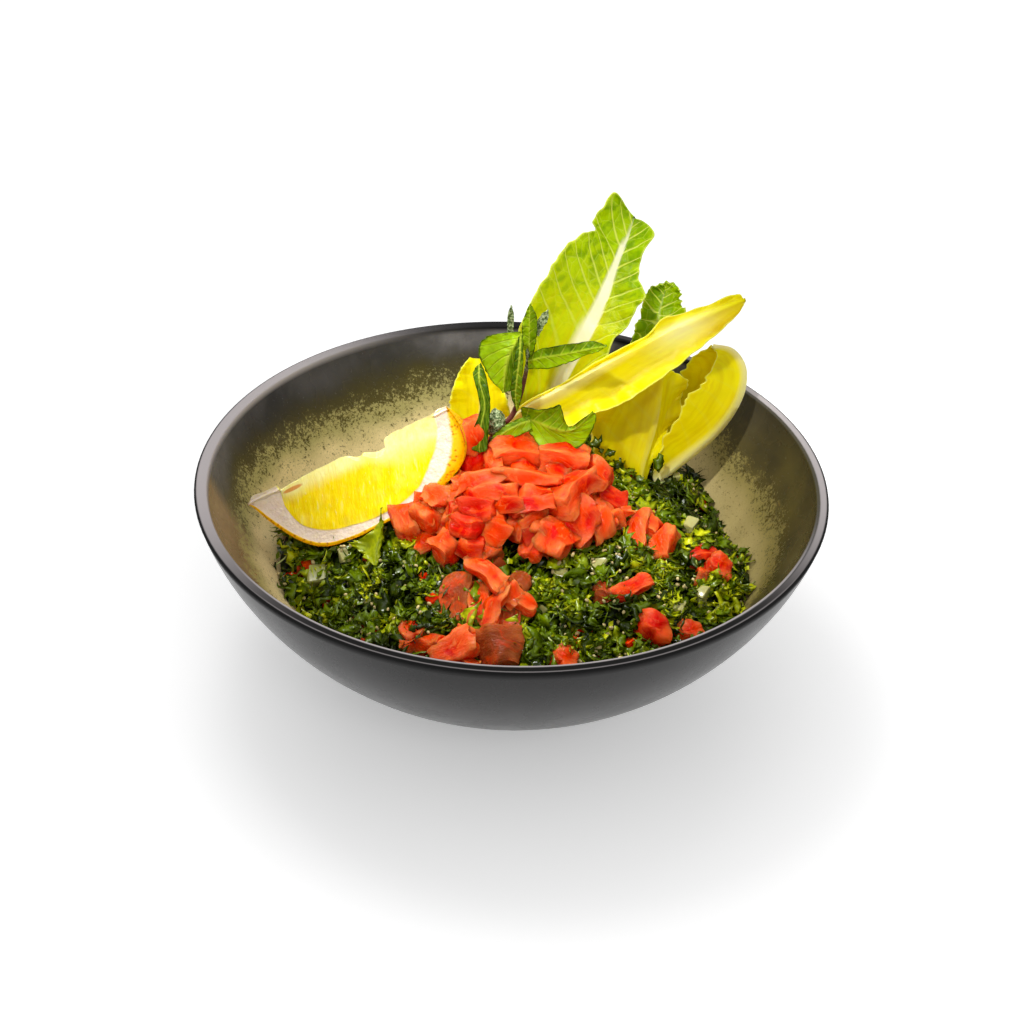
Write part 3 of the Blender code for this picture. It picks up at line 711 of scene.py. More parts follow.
class TABBOULEH_OT_bowl(bpy.types.Operator):
    """Turn the bowl with its foot ring and flat lip"""

    bl_idname = "tabbouleh.bowl"
    bl_label = "Bowl"

    def execute(self, context):
        settings = context.scene.tabbouleh_bowl
        bm = spun(bowl_profile(settings), settings.steps)
        facing_out(bm)
        band, thin_edge_and_highlight, lip = (float_layer(bm, name) for name in ("band", "thin_edge_and_highlight", "lip"))
        middle = OUTER_SPHERE - settings.wall / 2
        for vert in bm.verts:
            radius, azimuth = math.hypot(vert.co.x, vert.co.y), math.atan2(vert.co.y, vert.co.x)
            reach = (vert.co - Vector((0, 0, SPHERE_CENTRE_Z))).length
            inside = reach < middle and vert.co.z > FLOOR_Z - 0.0005
            below = (glaze_edge(azimuth) - vert.co.z) * 100
            vert[band] = max(-4.0, min(below, 4.0)) if inside else -4.0
            if vert.co.z > settings.height - LIP_HEIGHT:
                inward = (settings.radius - radius) / LIP_WIDTH
                vert[thin_edge_and_highlight] = lip_wear_and_highlight(azimuth, inward)
                # At the right the inside's glaze runs up over the lip's inner part.
                vert[lip] = 0.0 if inward > 0.68 and vert.co.x > abs(vert.co.y) else 1.0
        add_piece("glazed_bowl", bm, glaze_finish(settings), ["bowl"], 50)
        return {"FINISHED"}


# The salad


def heap_z(x, y):
    """Height of the heap's dome, without its bumps."""
    out = math.hypot(x / HEAP_REACH[0], y / HEAP_REACH[1])
    height = HEAP_TOP + HEAP_TILT * y - HEAP_DROP * out**2
    for dent_x, dent_y, reach, depth in HEAP_DENTS:
        height -= depth * math.exp(-((x - dent_x) ** 2 + (y - dent_y) ** 2) / reach**2)
    return height


def lump(x, y):
    """Clumps of the chopped greens, over the dome."""
    return 0.0046 * noise.noise(Vector((x / 0.010, y / 0.010, 3.7))) + 0.0022 * noise.noise(
        Vector((x / 0.0045, y / 0.0045, 9.1))
    )


def salad_z(x, y):
    return heap_z(x, y) + lump(x, y)


def contact_radius(azimuth, inner, sunk=0.0):
    """Distance from the axis at which the dome meets the bowl's wall."""
    low, high = 0.0, inner - 0.004
    for _ in range(30):
        radius = (low + high) / 2
        height = heap_z(radius * math.cos(azimuth), radius * math.sin(azimuth)) - sunk
        low, high = (radius, high) if height > wall_z(radius, inner) else (low, radius)
    return low


def salad_normal(x, y, step=0.0015):
    slope_x = (salad_z(x + step, y) - salad_z(x - step, y)) / (2 * step)
    slope_y = (salad_z(x, y + step) - salad_z(x, y - step)) / (2 * step)
    return Vector((-slope_x, -slope_y, 1)).normalized()


def pillow(bm, thickness):
    """A sheet made into a thin closed bit: a second side under it that shares its outline."""
    copy = bmesh.ops.duplicate(bm, geom=list(bm.faces))
    faces = [g for g in copy["geom"] if isinstance(g, bmesh.types.BMFace)]
    bmesh.ops.reverse_faces(bm, faces=faces)
    bm.normal_update()
    for vert in {v for face in faces for v in face.verts}:
        if not vert.is_boundary:
            vert.co += vert.normal * thickness
    bmesh.ops.remove_doubles(bm, verts=bm.verts, dist=1e-4)


def leaf_bit(seed, teeth=7, rings=2):
    """A cut parsley leaf, two units long: a cupped fan whose far edge is lobed and toothed."""
    bm = bmesh.new()
    bmesh.ops.create_grid(bm, x_segments=teeth, y_segments=rings, size=1)
    rng = np.random.default_rng(seed)
    spread, lobes, cut = rng.uniform(0.6, 1.15), rng.choice([2, 3]), rng.uniform(0.05, 0.35)
    cup, wave, phase = rng.uniform(0.1, 0.55), rng.uniform(0.08, 0.3), rng.uniform(0, 6)
    for vert in bm.verts:
        side, reach = vert.co.x, (vert.co.y + 1) / 2
        column = round((side + 1) / 2 * teeth)
        lobe = 0.72 + 0.28 * abs(math.cos(lobes * math.pi / 2 * side))
        tooth = (1.0 if column % 2 else 0.78) * rng.uniform(0.88, 1.1) if reach > 0.99 else 1.0
        radius = cut + (2 * lobe * tooth - cut) * reach
        angle = spread * side * (0.75 + 0.25 * reach)
        bend = (radius / 2) ** 2
        vert.co = (
            radius * math.cos(angle) - 1, radius * math.sin(angle),
            cup * bend * (1 + 1.2 * side * side) + wave * bend * math.sin(5 * angle + phase),
        )
    pillow(bm, 0.05)
    return bm


def curl_bit(seed, length, waves):
    """A curled tip: a narrow strip that twists and waves."""
    bm = bmesh.new()
    bmesh.ops.create_grid(bm, x_segments=5, y_segments=2, size=1)
    rng = np.random.default_rng(seed)
    twist, phase = rng.uniform(0.8, 2.2), rng.uniform(0, 6)
    for vert in bm.verts:
        x, y = vert.co.x, vert.co.y
        width = 0.34 * (1 - 0.6 * x * x) * (1 + 0.5 * math.sin(9 * x + phase) * abs(y))
        turn = twist * x + phase
        vert.co = (
            length * math.sin(1.3 * x), width * y * math.cos(turn) + 0.25 * math.sin(waves * x),
            width * y * math.sin(turn) + 0.3 * math.cos(2 * x + phase),
        )
    pillow(bm, 0.06)
    return bm


def stem_bit(seed, sides=5, bend=0.25):
    """A cut stem, two units long."""
    bm = bmesh.new()
    bmesh.ops.create_cone(bm, cap_ends=True, segments=sides, radius1=0.13, radius2=0.10, depth=2)
    upright = [e for e in bm.edges if abs(e.verts[0].co.z - e.verts[1].co.z) > 1]
    bmesh.ops.subdivide_edges(bm, edges=upright, cuts=3)
    for vert in bm.verts:
        vert.co.x += bend * math.sin(1.4 * vert.co.z + seed)
        vert.co = (vert.co.z, vert.co.x, vert.co.y)
    return bm


def grain_bit(seed):
    """A soaked bulgur grain, two units long, with a crease."""
    bm = bmesh.new()
    bmesh.ops.create_cube(bm, size=1.3)
    bmesh.ops.subdivide_edges(bm, edges=bm.edges, cuts=1, use_grid_fill=True)
    for vert in bm.verts:
        way = vert.co.normalized()
        bump = 1 + 0.16 * noise.noise(way * 1.7 + Vector((seed, 0, 0)))
        vert.co = Vector((way.x, way.y * 0.68, way.z * 0.62)) * bump
    return bm


def chopped_bit(seed, skew=0.22):
    """A small chopped block, two units long."""
    bm = bmesh.new()
    bmesh.ops.create_cube(bm, size=2)
    bmesh.ops.bevel(
        bm, geom=bm.edges, offset=0.22, offset_type="OFFSET", segments=1, profile=0.5, affect="EDGES",
        material=-1
    )
    for vert in bm.verts:
        shift = noise.noise_vector(vert.co * 0.8 + Vector((seed * 7.1, 0, 0))) * skew
        vert.co = (vert.co.x + shift.x, (vert.co.y + shift.y) * 0.75, (vert.co.z + shift.z) * 0.6)
    return bm


def scatter(name, bits, places, material, inner, slot="parsley", sharp_deg=180.0):
    """One piece of the salad with a copy of a bit at each place, given as (bit, matrix, tint)."""
    shapes = []
    for bm in bits:
        facing_out(bm)
        bmesh.ops.triangulate(bm, faces=bm.faces)
        bm.verts.index_update()
        shapes.append((
            np.array([(*v.co, 1.0) for v in bm.verts]),
            np.array([[v.index for v in f.verts] for f in bm.faces])
        ))
        bm.free()
    corners, faces, tints, start = [], [], [], 0
    for which, matrix, tint in places:
        points, triangles = shapes[which]
        corners.append(points @ np.array(matrix).T[:, :3])
        faces.append(triangles + start)
        tints.append(np.full(len(points), tint))
        start += len(points)
    corners, faces = np.concatenate(corners), np.concatenate(faces)
    # Nothing goes through the bowl's wall.
    centre = np.array((0, 0, SPHERE_CENTRE_Z))
    reach = np.linalg.norm(corners - centre, axis=1)
    corners = centre + (corners - centre) * np.minimum(1, (inner - WALL_GAP) / reach)[:, None]
    mesh = bpy.data.meshes.new(name)
    mesh.from_pydata(corners.tolist(), [], faces.tolist())
    mesh.attributes.new("tint", "FLOAT", "POINT").data.foreach_set(
        "value", np.concatenate(tints).astype(np.float32)
    )
    add_piece(name, mesh, material, ["parsley_heap"], sharp_deg)


def loose_places(rng, count, inner, sizes, lift, tilt_deg, kinds, tint):
    """Random places over the salad as (bit, matrix, tint), tilted away from its surface."""
    places = []
    while len(places) < count:
        azimuth, share = rng.uniform(-math.pi, math.pi), math.sqrt(rng.uniform(0, 1))
        radius = share * (contact_radius(azimuth, inner) - 0.0008)
        x, y = radius * math.cos(azimuth), radius * math.sin(azimuth)
        size, height = rng.uniform(*sizes), rng.uniform(*lift)
        yaw, tilt, way = rng.uniform(0, math.tau), math.radians(
            rng.normal(0, tilt_deg)
        ), rng.uniform(0, math.tau)
        kind, value = int(rng.integers(kinds)), rng.uniform(0, 1)
        if under_garnish(x, y):
            continue
        normal = salad_normal(x, y)
        turn = normal.to_track_quat("Z", "Y").to_matrix()
        turn = turn @ Matrix.Rotation(way, 3, "Z") @ Matrix.Rotation(
            tilt, 3, "X"
        ) @ Matrix.Rotation(yaw, 3, "Z")
        place = Vector((x, y, salad_z(x, y))) + normal * height
        patch = noise.noise(Vector((x / 0.011, y / 0.011, 1.3)))
        matrix = Matrix.Translation(place) @ turn.to_4x4() @ Matrix.Scale(size, 4)
        places.append((kind, matrix, tint(value, patch)))
    return places


def under_garnish(x, y):
    """Whether the greens there are hidden under the tomato mound."""
    return math.hypot(x / 0.029, (y + 0.004) / 0.016) < 1


def make_core(settings, inner):
    """The salad's body under the loose bits, out to the bowl's wall."""
    bm = spun(
        [*[(k / 40, 1) for k in range(40)], (1, 0), *[(k / 8, -1) for k in range(7, -1, -1)]], 120
    )
    for vert in bm.verts:
        share, side = math.hypot(vert.co.x, vert.co.y), vert.co.z
        azimuth = math.atan2(vert.co.y, vert.co.x)
        radius = share * (contact_radius(azimuth, inner, CORE_SUNK) - 0.0004)
        x, y = radius * math.cos(azimuth), radius * math.sin(azimuth)
        low = wall_z(radius, inner) + 0.0004
        vert.co = (x, y, max(salad_z(x, y) - CORE_SUNK, low + 0.0004) if side > 0 else low)
    facing_out(bm)
    add_piece("salad_core", bm, core_finish(settings), ["parsley_heap"])


# Light frilly clumps, as (x, y, reach, how light) in mm.
CLUMPS = (
    (35, 19, 7, 0.95), (42, 14, 4, 0.7), (32, -13, 5, 0.9), (52, 12, 4, 0.85), (62, 9, 4, 0.75),
    (13, -34, 4, 0.9),
    (19, -40, 5, 0.6), (55, -32, 6, 0.95), (64, -23, 5, 0.9), (75, -17, 6, 0.85), (50, -21, 6, 0.9),
    (41, -21, 4, 0.8),
    (-45, -26, 5, 0.95), (-64, -30, 4, 0.85), (-71, -5, 4, 0.9), (-26, -35, 4, 0.6), (-36, -16, 4, 0.9),
    (-52, -29, 4, 0.7), (30, -50, 4, 0.6), (17, -55, 4, 0.6), (-58, -20, 4, 0.5), (-20, -46, 3, 0.5),
)
# Bits laid one by one, as (middle in mm, half length in mm, turned in degrees, tint).
ONIONS = (
    ((29, -24.5, 55.5), 2.6, -30, 0.4), ((17, -29, 55), 1.9, 80, 0.1), ((61, 7, 51.5), 2.4, -20, 0.0),
    ((64, -24, 45.5), 2.4, -30, 0.1), ((-55, -13, 47.5), 2.2, 20, 0.0), ((-64, -17, 42), 3.4, 10, 0.9),
    ((56, -32, 45), 2.2, -10, 0.0), ((44, 9, 57), 1.8, 30, 0.3), ((3, -64, 40), 1.6, 0, 0.1),
)
STRAYS = (
    ((28, 24.5, 72), 2.4, 30, 0.1), ((33, 24, 68), 2.0, 200, 0.15), ((36, 23.5, 64), 2.6, 60, 0.1),
    ((30, 24, 69), 1.5, 120, 0.1), ((50, 27, 63), 2.6, 80, 0.2),
)
STANDING_LEAF = dict(
    rib=[(-44.2, -19.5, 49), (-44.5, -17.5, 52), (-43.8, -15.5, 55), (-42.8, -13, 58.5), (-43, -9, 65)],
    left=[
        (-45, -19.5, 49.2), (-49, -16, 51), (-52.6, -12, 52.4), (-48, -12.5, 55.5), (-43.6, -11.5, 61),
        (-43, -9, 65),
    ],
    right=[
        (-43.6, -19.5, 49.2), (-42.6, -17, 52.5), (-42.2, -14.5, 56.8), (-42.2, -12.5, 60),
        (-42.7, -10.5, 63), (-43, -9, 65),
    ],
    cup=0.15, wave=0.0006, frill=0.0008, ragged=0.35, rib_mm=0.3, rib_end=1.1, seed=50,
)


def by_hand(rows, kinds, facing):
    """Bits at given places as (bit, matrix, tint), all facing one way."""
    places = []
    for k, (middle, half, turned, tint) in enumerate(rows):
        turn = facing.to_track_quat("Z", "X").to_matrix() @ Matrix.Rotation(
            math.radians(turned), 3, "Z"
        )
        matrix = Matrix.Translation(mm(*middle)) @ turn.to_4x4() @ Matrix.Scale(half / 1000, 4)
        places.append((k % kinds, matrix, tint))
    return places


def clumps(rng, kinds):
    """Frilly bits crowded round the places of the light clumps."""
    places = []
    for x, y, reach, light in CLUMPS:
        for _ in range(int(reach * 9)):
            at = rng.normal(0, reach * 0.0005, 2)
            place = Vector((x / 1000 + at[0], y / 1000 + at[1], 0))
            place.z = salad_z(place.x, place.y) + rng.uniform(0.0002, 0.0022)
            turn = Matrix.Rotation(rng.uniform(0, math.tau), 3, "Z") @ Matrix.Rotation(
                rng.normal(0, 0.9), 3, "X"
            )
            turn = turn @ Matrix.Rotation(rng.uniform(0, math.tau), 3, "Z")
            matrix = Matrix.Translation(place) @ turn.to_4x4() @ Matrix.Scale(
                rng.uniform(0.0012, 0.0028), 4
            )
            places.append(
                (int(rng.integers(kinds)), matrix, min(max(0.8 * light + rng.normal(0, 0.22), 0), 1))
            )
    return places


def greens(value, patch):
    """Tint of a green bit: mostly dark, lighter in patches, and now and then pale."""
    return min(max(0.08 + 0.6 * value**1.3 + 0.75 * patch + (0.3 if value > 0.93 else 0), 0), 1)


def plain(value, patch):
    return value


def soaked(value, patch):
    """Tint of a small tomato bit, duller than the pieces on top."""
    return 0.7 * value


def standing_leaf(material):
    """The parsley leaf that stands up beside the lemon."""
    bm = leaf_shell(STANDING_LEAF, 0.0004, 0.0003, (30, 16), lambda u, v: (0.0, 0.0))
    fill_layer(bm, "tint", lambda vert: 0.75)
    add_piece("parsley_standing_leaf", bm, material, ["parsley_heap"], 80)


class TABBOULEH_OT_salad(bpy.types.Operator):
    """Heap up the chopped parsley, stems, bulgur, onion and small tomato"""

    bl_idname = "tabbouleh.salad"
    bl_label = "Salad"

    def execute(self, context):
        settings = context.scene.tabbouleh_salad
        inner = OUTER_SPHERE - context.scene.tabbouleh_bowl.wall
        rng = np.random.default_rng(11)

        def strew(name, bits, count, sizes, lift, tilt_deg, tint, material, laid=(), **looks):
            places = loose_places(rng, count, inner, sizes, lift, tilt_deg, len(bits), tint)
            scatter(name, bits, [*places, *laid], material, inner, **looks)

        make_core(settings, inner)
        leaf = parsley_finish(settings, "parsley_leaf")
        bits = [leaf_bit(k) for k in range(14)]
        laid = by_hand(STRAYS, len(bits), Vector((0, -0.8, 0.6)))
        laid += clumps(np.random.default_rng(12), len(bits))
        strew(
            "parsley_leaves", bits, settings.leaves, (0.0016, 0.0046), (-0.0018, 0.0020), 40, greens,
            leaf, laid
        )
        standing_leaf(leaf)
        bits = [leaf_bit(20 + k, 4, 1) for k in range(8)]
        strew(
            "parsley_crumbs", bits, settings.crumbs, (0.0007, 0.0018), (-0.0022, 0.0020), 50, greens,
            leaf,
        )
        bits = [curl_bit(40 + k, 1.0, 2.5 + k) for k in range(6)]
        strew(
            "parsley_curls", bits, settings.curls, (0.0014, 0.0034), (-0.0006, 0.0024), 45, greens,
            leaf,
        )
        bits = [stem_bit(60 + k) for k in range(4)]
        stem = stem_finish(settings)
        strew(
            "parsley_stems", bits, settings.stems, (0.0014, 0.0036), (-0.0016, 0.0010), 26, plain, stem
        )
        bits = [grain_bit(80 + k) for k in range(4)]
        grain = grain_finish(settings)
        strew(
            "bulgur_grains", bits, settings.grains, (0.0006, 0.0011), (-0.0014, 0.0018), 40, plain,
            grain,
        )
        bits = [chopped_bit(90 + k, 0.6) for k in range(4)]
        laid = by_hand(ONIONS, len(bits), Vector((0, -0.3, 0.95)))
        strew(
            "onion_bits", bits, settings.onions, (0.0010, 0.0022), (-0.0016, 0.0004), 30, plain,
            onion_finish(),
            laid, sharp_deg=35,
        )
        bits = [chopped_bit(100 + k) for k in range(4)]
        flesh = tomato_finish(context.scene.tabbouleh_tomato)
        strew(
            "tomato_bits", bits, settings.tomatoes, (0.0014, 0.0030), (-0.0024, -0.0004), 30, soaked,
            flesh,
            slot="tomato", sharp_deg=35,
        )
        return {"FINISHED"}


# Tomato: each piece from one end to the other, its width and thickness in mm, its roll in degrees, its tint
# Tints go from 0, dull, through 0.5, orange, to 1, deep red.
MOUND = [
    # the top: a pale chunk, and two behind it
    ((-7, 3, 79), (8, 8, 77), 10, 9, 10, 0.35), ((10, 4, 79), (24, 4, 77), 9, 8, 0, 0.55),
    ((25, 5, 74), (32, 2, 69), 9, 7, 20, 0.5), ((13, 2, 76), (17, -3, 74), 8, 7, 10, 0.6),
    # a long slice that arches over the front, and one under it
    ((-20, -9, 74), (-3, -9, 79.5), 6.5, 4, -35, 0.45),
    ((-5, -9, 79.5), (15, -8, 77), 6.5, 4, -35, 0.45),
    ((-17, -14, 72), (2, -13, 76), 7.5, 4.5, -40, 0.6), ((4, -12, 76), (13, -13, 74), 8, 6, -20, 0.55),
    # the left: a cluster of dice next to the lemon
    ((-35, -2, 61), (-33, -15, 58), 9, 8, 15, 0.5), ((-31, -9, 65), (-25, -17, 63), 9.5, 8, -10, 0.45),
    ((-27, -6, 69), (-21, -13, 70), 8, 7, 30, 0.5), ((-24, -20, 61), (-18, -25, 59), 9, 8, 20, 0.6),
    ((-15, 4, 80), (-13, 2, 73), 8, 7, 0, 0.9), ((-16, 10, 89), (-15, 7, 79), 8, 8, 0, 0.5),
    # under the slices: see-through dice, deep red partly as painted shade
    ((-16, -16, 70), (-6, -18, 72), 9, 6, -30, 0.85), ((-17, -24, 63), (-8, -26, 62), 9, 7, 0, 0.75),
    ((-17, -19, 67), (-9, -23, 67), 10, 6, -20, 0.85), ((-8, -21, 68), (0, -23, 66), 9, 7, 15, 0.35),
    ((-6, -18, 72), (3, -17, 73), 8, 6, -20, 0.6), ((0, -19, 71), (13, -16, 73), 9, 4.5, -50, 0.85),
    # the right: large bright pieces
    ((25, -2, 74), (14, -16, 71), 11, 8, 25, 0.6), ((19, -12, 71), (26, -18, 63), 12, 8, 20, 0.75),
    ((27, -8, 69), (31, -14, 60), 8, 6, 10, 0.5), ((17, -19, 67), (12, -25, 61), 11, 8, -15, 0.55),
    ((26, -2, 69), (37, 0, 64), 7, 4, 30, 0.9), ((33, -5, 62), (39, -3, 63), 4, 3, 0, 0.3),
    ((32, -6, 64), (33, -10, 60), 6, 5, 10, 0.55), ((-11, -26, 60), (-4, -28, 59), 8, 6, 20, 0.12),
]
TRAIL = [
    ((-14, -28, 60), (-2, -41, 58), 6, 2.5, 15, 0.5), ((-3, -40, 58), (4, -44, 53), 6, 2.5, 25, 0.4),
    ((3, -42, 54), (9, -43, 51), 6, 3, 10, 0.45), ((-1, -40, 58), (-7, -50, 49), 6, 2.5, 0, 0.42),
    ((-15, -31, 54), (-17, -44, 47), 9, 4.5, 10, 0.1), ((-10, -34, 53), (-8, -47, 48), 8, 4, 10, 0.5),
    ((2, -43, 52), (1, -48, 47), 8, 4.5, 0, 0.1), ((-21, -38, 48), (-17, -46, 45), 7, 3.5, 0, 0.02),
    ((0, -31, 54), (6, -34, 52), 7, 4, 0, 0.05),
]
FRONT_PILE = [
    ((-33, -47, 42), (-26, -47, 44), 9, 6, 10, 0.6), ((-32, -52, 41), (-20, -56, 45), 6, 4, -20, 0.2),
    ((-22, -61, 42), (-11, -56, 48), 9, 5, 20, 0.45), ((-16, -62, 42), (-9, -60, 41), 8, 5, 0, 0.55),
    ((-9, -58, 44), (4, -56, 43), 13, 10, 25, 0.08), ((-31, -54, 37), (-24, -59, 40), 6, 4.5, 0, 0.55),
    ((-16, -54, 46), (-10, -51, 46), 6, 5, 30, 0.3),
]
LOOSE_DICE = {
    "tomato_dice_1": [
        ((43, 3, 58), (41, -15, 54), 7, 5.5, 10, 0.5), ((42, 2, 59), (50, -5, 55), 6, 4.5, 10, 0.4)
    ],
    "tomato_dice_2": [((52, -3, 55), (51, -14, 51), 8, 7, 20, 0.5)],
    "tomato_dice_3": [
        ((66, -11, 48), (73, -12, 45), 8, 6, 10, 0.7), ((60, -9, 49), (69, -4, 47), 7, 5, 0, 0.85),
        ((61, -16, 47), (66, -16, 46), 5, 4, 0, 0.2),
    ],
    "tomato_dice_4": [
        ((34, -36, 50), (45, -27, 52), 5, 4, 20, 0.75), ((28, -33, 51), (33, -33, 50), 8, 6, 0, 0.1)
    ],
    "tomato_dice_5": [((43, -43, 44), (51, -41, 42), 10, 8, 20, 0.75)],
    "tomato_dice_6": [((56, -41, 40), (63, -38, 39), 7, 6, 10, 0.6)],
    "tomato_dice_7": [((15, -57, 42), (22, -58, 40), 8, 6, 10, 0.3)],
}


def cut_block(size, rng, cuts):
    """A block of soft flesh with a number of its corners pressed flat."""
    bm = bmesh.new()
    bmesh.ops.create_cube(bm, size=1)
    bmesh.ops.subdivide_edges(bm, edges=bm.edges, cuts=8, use_grid_fill=True)
    bmesh.ops.scale(bm, vec=size, verts=bm.verts)
    for _ in range(cuts):
        way = Vector(rng.normal(0, 1, 3) * (1, 1, 0.6)).normalized()
        reach = sum(abs(w) * s / 2 for w, s in zip(way, size)) * rng.uniform(0.45, 0.75)
        for vert in bm.verts:
            vert.co -= way * max(vert.co.dot(way) - reach, 0)
    return bm


def tomato_piece(start, end, width, thickness, roll_deg, tone, seed):
    """A cut piece of tomato from one place to another, bent, uneven and torn at its ends."""
    rng = np.random.default_rng(seed)
    a, b = Vector(start) / 1000, Vector(end) / 1000
    size = Vector(((b - a).length * 1.12, width * 1.06 / 1000, thickness * 1.06 / 1000))
    bm = cut_block(size, rng, 1 if size.x > 0.014 else 4)
    tint, rim, *local = (float_layer(bm, name) for name in ("tint", "rim", "along", "aside", "above"))
    taper, shear, bow = rng.uniform(-0.4, 0.4), rng.uniform(-0.25, 0.25), rng.uniform(0.0, 0.25)
    offset = Vector((seed * 3.1, seed * 1.7, 0))
    for vert in bm.verts:
        x, y, z = (vert.co[k] / size[k] for k in range(3))
        torn = 0.0008 + 0.0010 * max(abs(x) * 2 - 0.6, 0)
        rough = noise.noise_vector(vert.co / 0.0060 + offset) * 0.0019
        rough += noise.noise_vector(vert.co / 0.0024 + offset) * torn
        vert[tint] = tone
        vert[rim] = min(max((abs(x) + abs(y) + abs(z) - 0.75) / 0.4, 0), 1)
        for layer, value in zip(local, vert.co + offset * 0.01):
            vert[layer] = value
        vert.co = (
            vert.co.x + shear * vert.co.y, vert.co.y * (1 + taper * x),
            vert.co.z + bow * (1 - 4 * x * x) * size.z
        )
        vert.co += rough
    bmesh.ops.smooth_vert(
        bm, verts=bm.verts, factor=0.4, use_axis_x=True, use_axis_y=True, use_axis_z=True
    )
    turn = (b - a).to_track_quat("X", "Z").to_matrix().to_4x4()
    turn = Matrix.Translation((a + b) / 2) @ turn @ Matrix.Rotation(math.radians(roll_deg), 4, "X")
    bmesh.ops.transform(bm, matrix=turn, verts=bm.verts)
    facing_out(bm)
    return bm


def tomato_pile(name, node, pieces, material):
    """Join cut pieces into the one piece that stands for a node."""
    whole = bmesh.new()
    for layer in ("tint", "rim", "along", "aside", "above"):
        float_layer(whole, layer)
    for k, shape in enumerate(pieces):
        part = tomato_piece(*shape, k + 7 * len(name))
        mesh = bpy.data.meshes.new("part")
        part.to_mesh(mesh)
        part.free()
        whole.from_mesh(mesh)
        bpy.data.meshes.remove(mesh)
    add_piece(name, whole, material, [node], 70)


def mound_filling():
    """Dice under the ones that show."""
    rng = np.random.default_rng(5)
    turn = Matrix.Rotation(math.radians(6), 3, "Z")
    pieces = []
    while len(pieces) < 70:
        x, y = rng.uniform(-1, 1, 2)
        share = math.hypot(x, y)
        if share > 0.93:
            continue
        place = mm(0, -5, 0) + turn @ Vector((x * 0.036, y * 0.023, 0))
        rise = 0.019 * (1 - share**2.6) * rng.uniform(0.35, 0.8)
        place.z = heap_z(place.x, place.y) + max(rise, 0.001)
        way = Vector(rng.normal(0, 1, 3))
        way.z *= 0.4
        way = way.normalized() * rng.uniform(3.0, 5.0)
        middle = place * 1000
        tint = rng.choice([0.45, 0.55, 0.7, 0.95, 0.3])
        pieces.append(
            (
                middle - way, middle + way, rng.uniform(6, 9), rng.uniform(4.5, 7),
                rng.uniform(-40, 40), tint,
            ),
        )
    return pieces


class TABBOULEH_OT_tomato(bpy.types.Operator):
    """Cut the tomato and pile it on the salad"""

    bl_idname = "tabbouleh.tomato"
    bl_label = "Tomato"

    def execute(self, context):
        material = tomato_finish(context.scene.tabbouleh_tomato)
        tomato_pile("tomato_mound_dice", "tomato_mound", MOUND + mound_filling(), material)
        tomato_pile("tomato_trail_strips", "tomato_trail", TRAIL, material)
        tomato_pile("tomato_front_dice", "tomato_front", FRONT_PILE, material)
        for node, pieces in LOOSE_DICE.items():
            tomato_pile(node.replace("dice", "piece"), node, pieces, material)
        return {"FINISHED"}


# The lemon wedge

LEMON_WEDGE_DEG = 55.0
ZEST_MM, FLESH_MM = 0.9, 2.2  # how deep the zest reaches, and the flesh starts, under the rind
RIM_END, PITH_END = 1.25, 1.45  # where the rolled rim and the pith end, going round the wedge
CORE_GAP = 0.0003  # what the back face keeps from the core
# The cut face from its lower left end to its upper end, as (along the core, out from it) in mm: the trimmed
# core, the edge of the flesh, the line where the zest starts and the outside.
LEMON_CORE = (
    (-39.2, 1), (-36.3, -0.8), (-31, -0.6), (-27.2, -0.4), (-26.2, 1.6), (-22.5, 1), (-19, 0.8),
    (-13, 0.3), (-6, 0.1),
    (-1.6, 0.3), (2, 3.5), (4.6, 3), (7.2, 4.8), (11.9, 5), (13.4, 1), (17.5, -0.1), (20, 0.2),
    (24, -0.2), (29, 0),
    (33, -0.2), (37.1, -0.4),
)
LEMON_FLESH = (
    (-39.2, 1), (-36.2, -0.7), (-30.9, -0.4), (-27.1, 0), (-27.8, 6.5), (-26, 13), (-22, 17.5),
    (-15.5, 20.8),
    (-8, 22.2), (-2, 23), (3, 23.1), (8, 22.6), (12.5, 21.8), (17.5, 19.8), (21.5, 16.8), (24.8, 13.6),
    (27.5, 11),
    (29.6, 8), (31.3, 4.5), (32.8, -0.4), (37.1, -0.5),
)
LEMON_ZEST = (
    (-39.2, 1), (-37, 2.8), (-34, 8), (-30.9, 13), (-27, 18), (-22.9, 21.7), (-18.5, 23.8), (-13, 24.8),
    (-7, 25.2),
    (-1, 25), (5, 24.7), (10.5, 24.4), (15, 23.7), (19.8, 22.4), (24, 20.6), (28.1, 17.6), (31, 14.4),
    (33.6, 9.8),
    (35.2, 4.5), (36.4, 1), (37.2, -0.5),
)
LEMON_OUTSIDE = (
    (-39.2, 1), (-37.6, 3.2), (-34.9, 8.8), (-31.8, 13.8), (-27.9, 19.1), (-23.6, 23), (-18.8, 25.3),
    (-13, 26.1),
    (-7, 26.5), (-1, 26.2), (5, 25.9), (10.5, 25.7), (15.5, 25.3), (21, 24.5), (26, 22.8), (31, 20.6),
    (35, 17.6),
    (38, 13), (38.9, 8.5), (38.4, 4), (37.3, -0.5),
)


def lemon_frame():
    """The wedge's own axes: x along the core to the upper end, y across the front face, z behind it."""
    low, high = mm(-88, 2, 58.5), mm(-21.5, 6, 96)
    along = (high - low).normalized()
    across = Vector((0, -0.5, -0.85))
    across = (across - along * across.dot(along)).normalized()
    turned = Matrix((along, across, along.cross(across))).transposed().to_4x4()
    turned.translation = (low + high) / 2
    return turned


def swung(flat, angle, least=-math.inf):
    """A point of the cut face, at least so far out, swung round the core."""
    out = max(flat.y, least)
    return Vector((flat.x, out * math.cos(angle), out * math.sin(angle)))


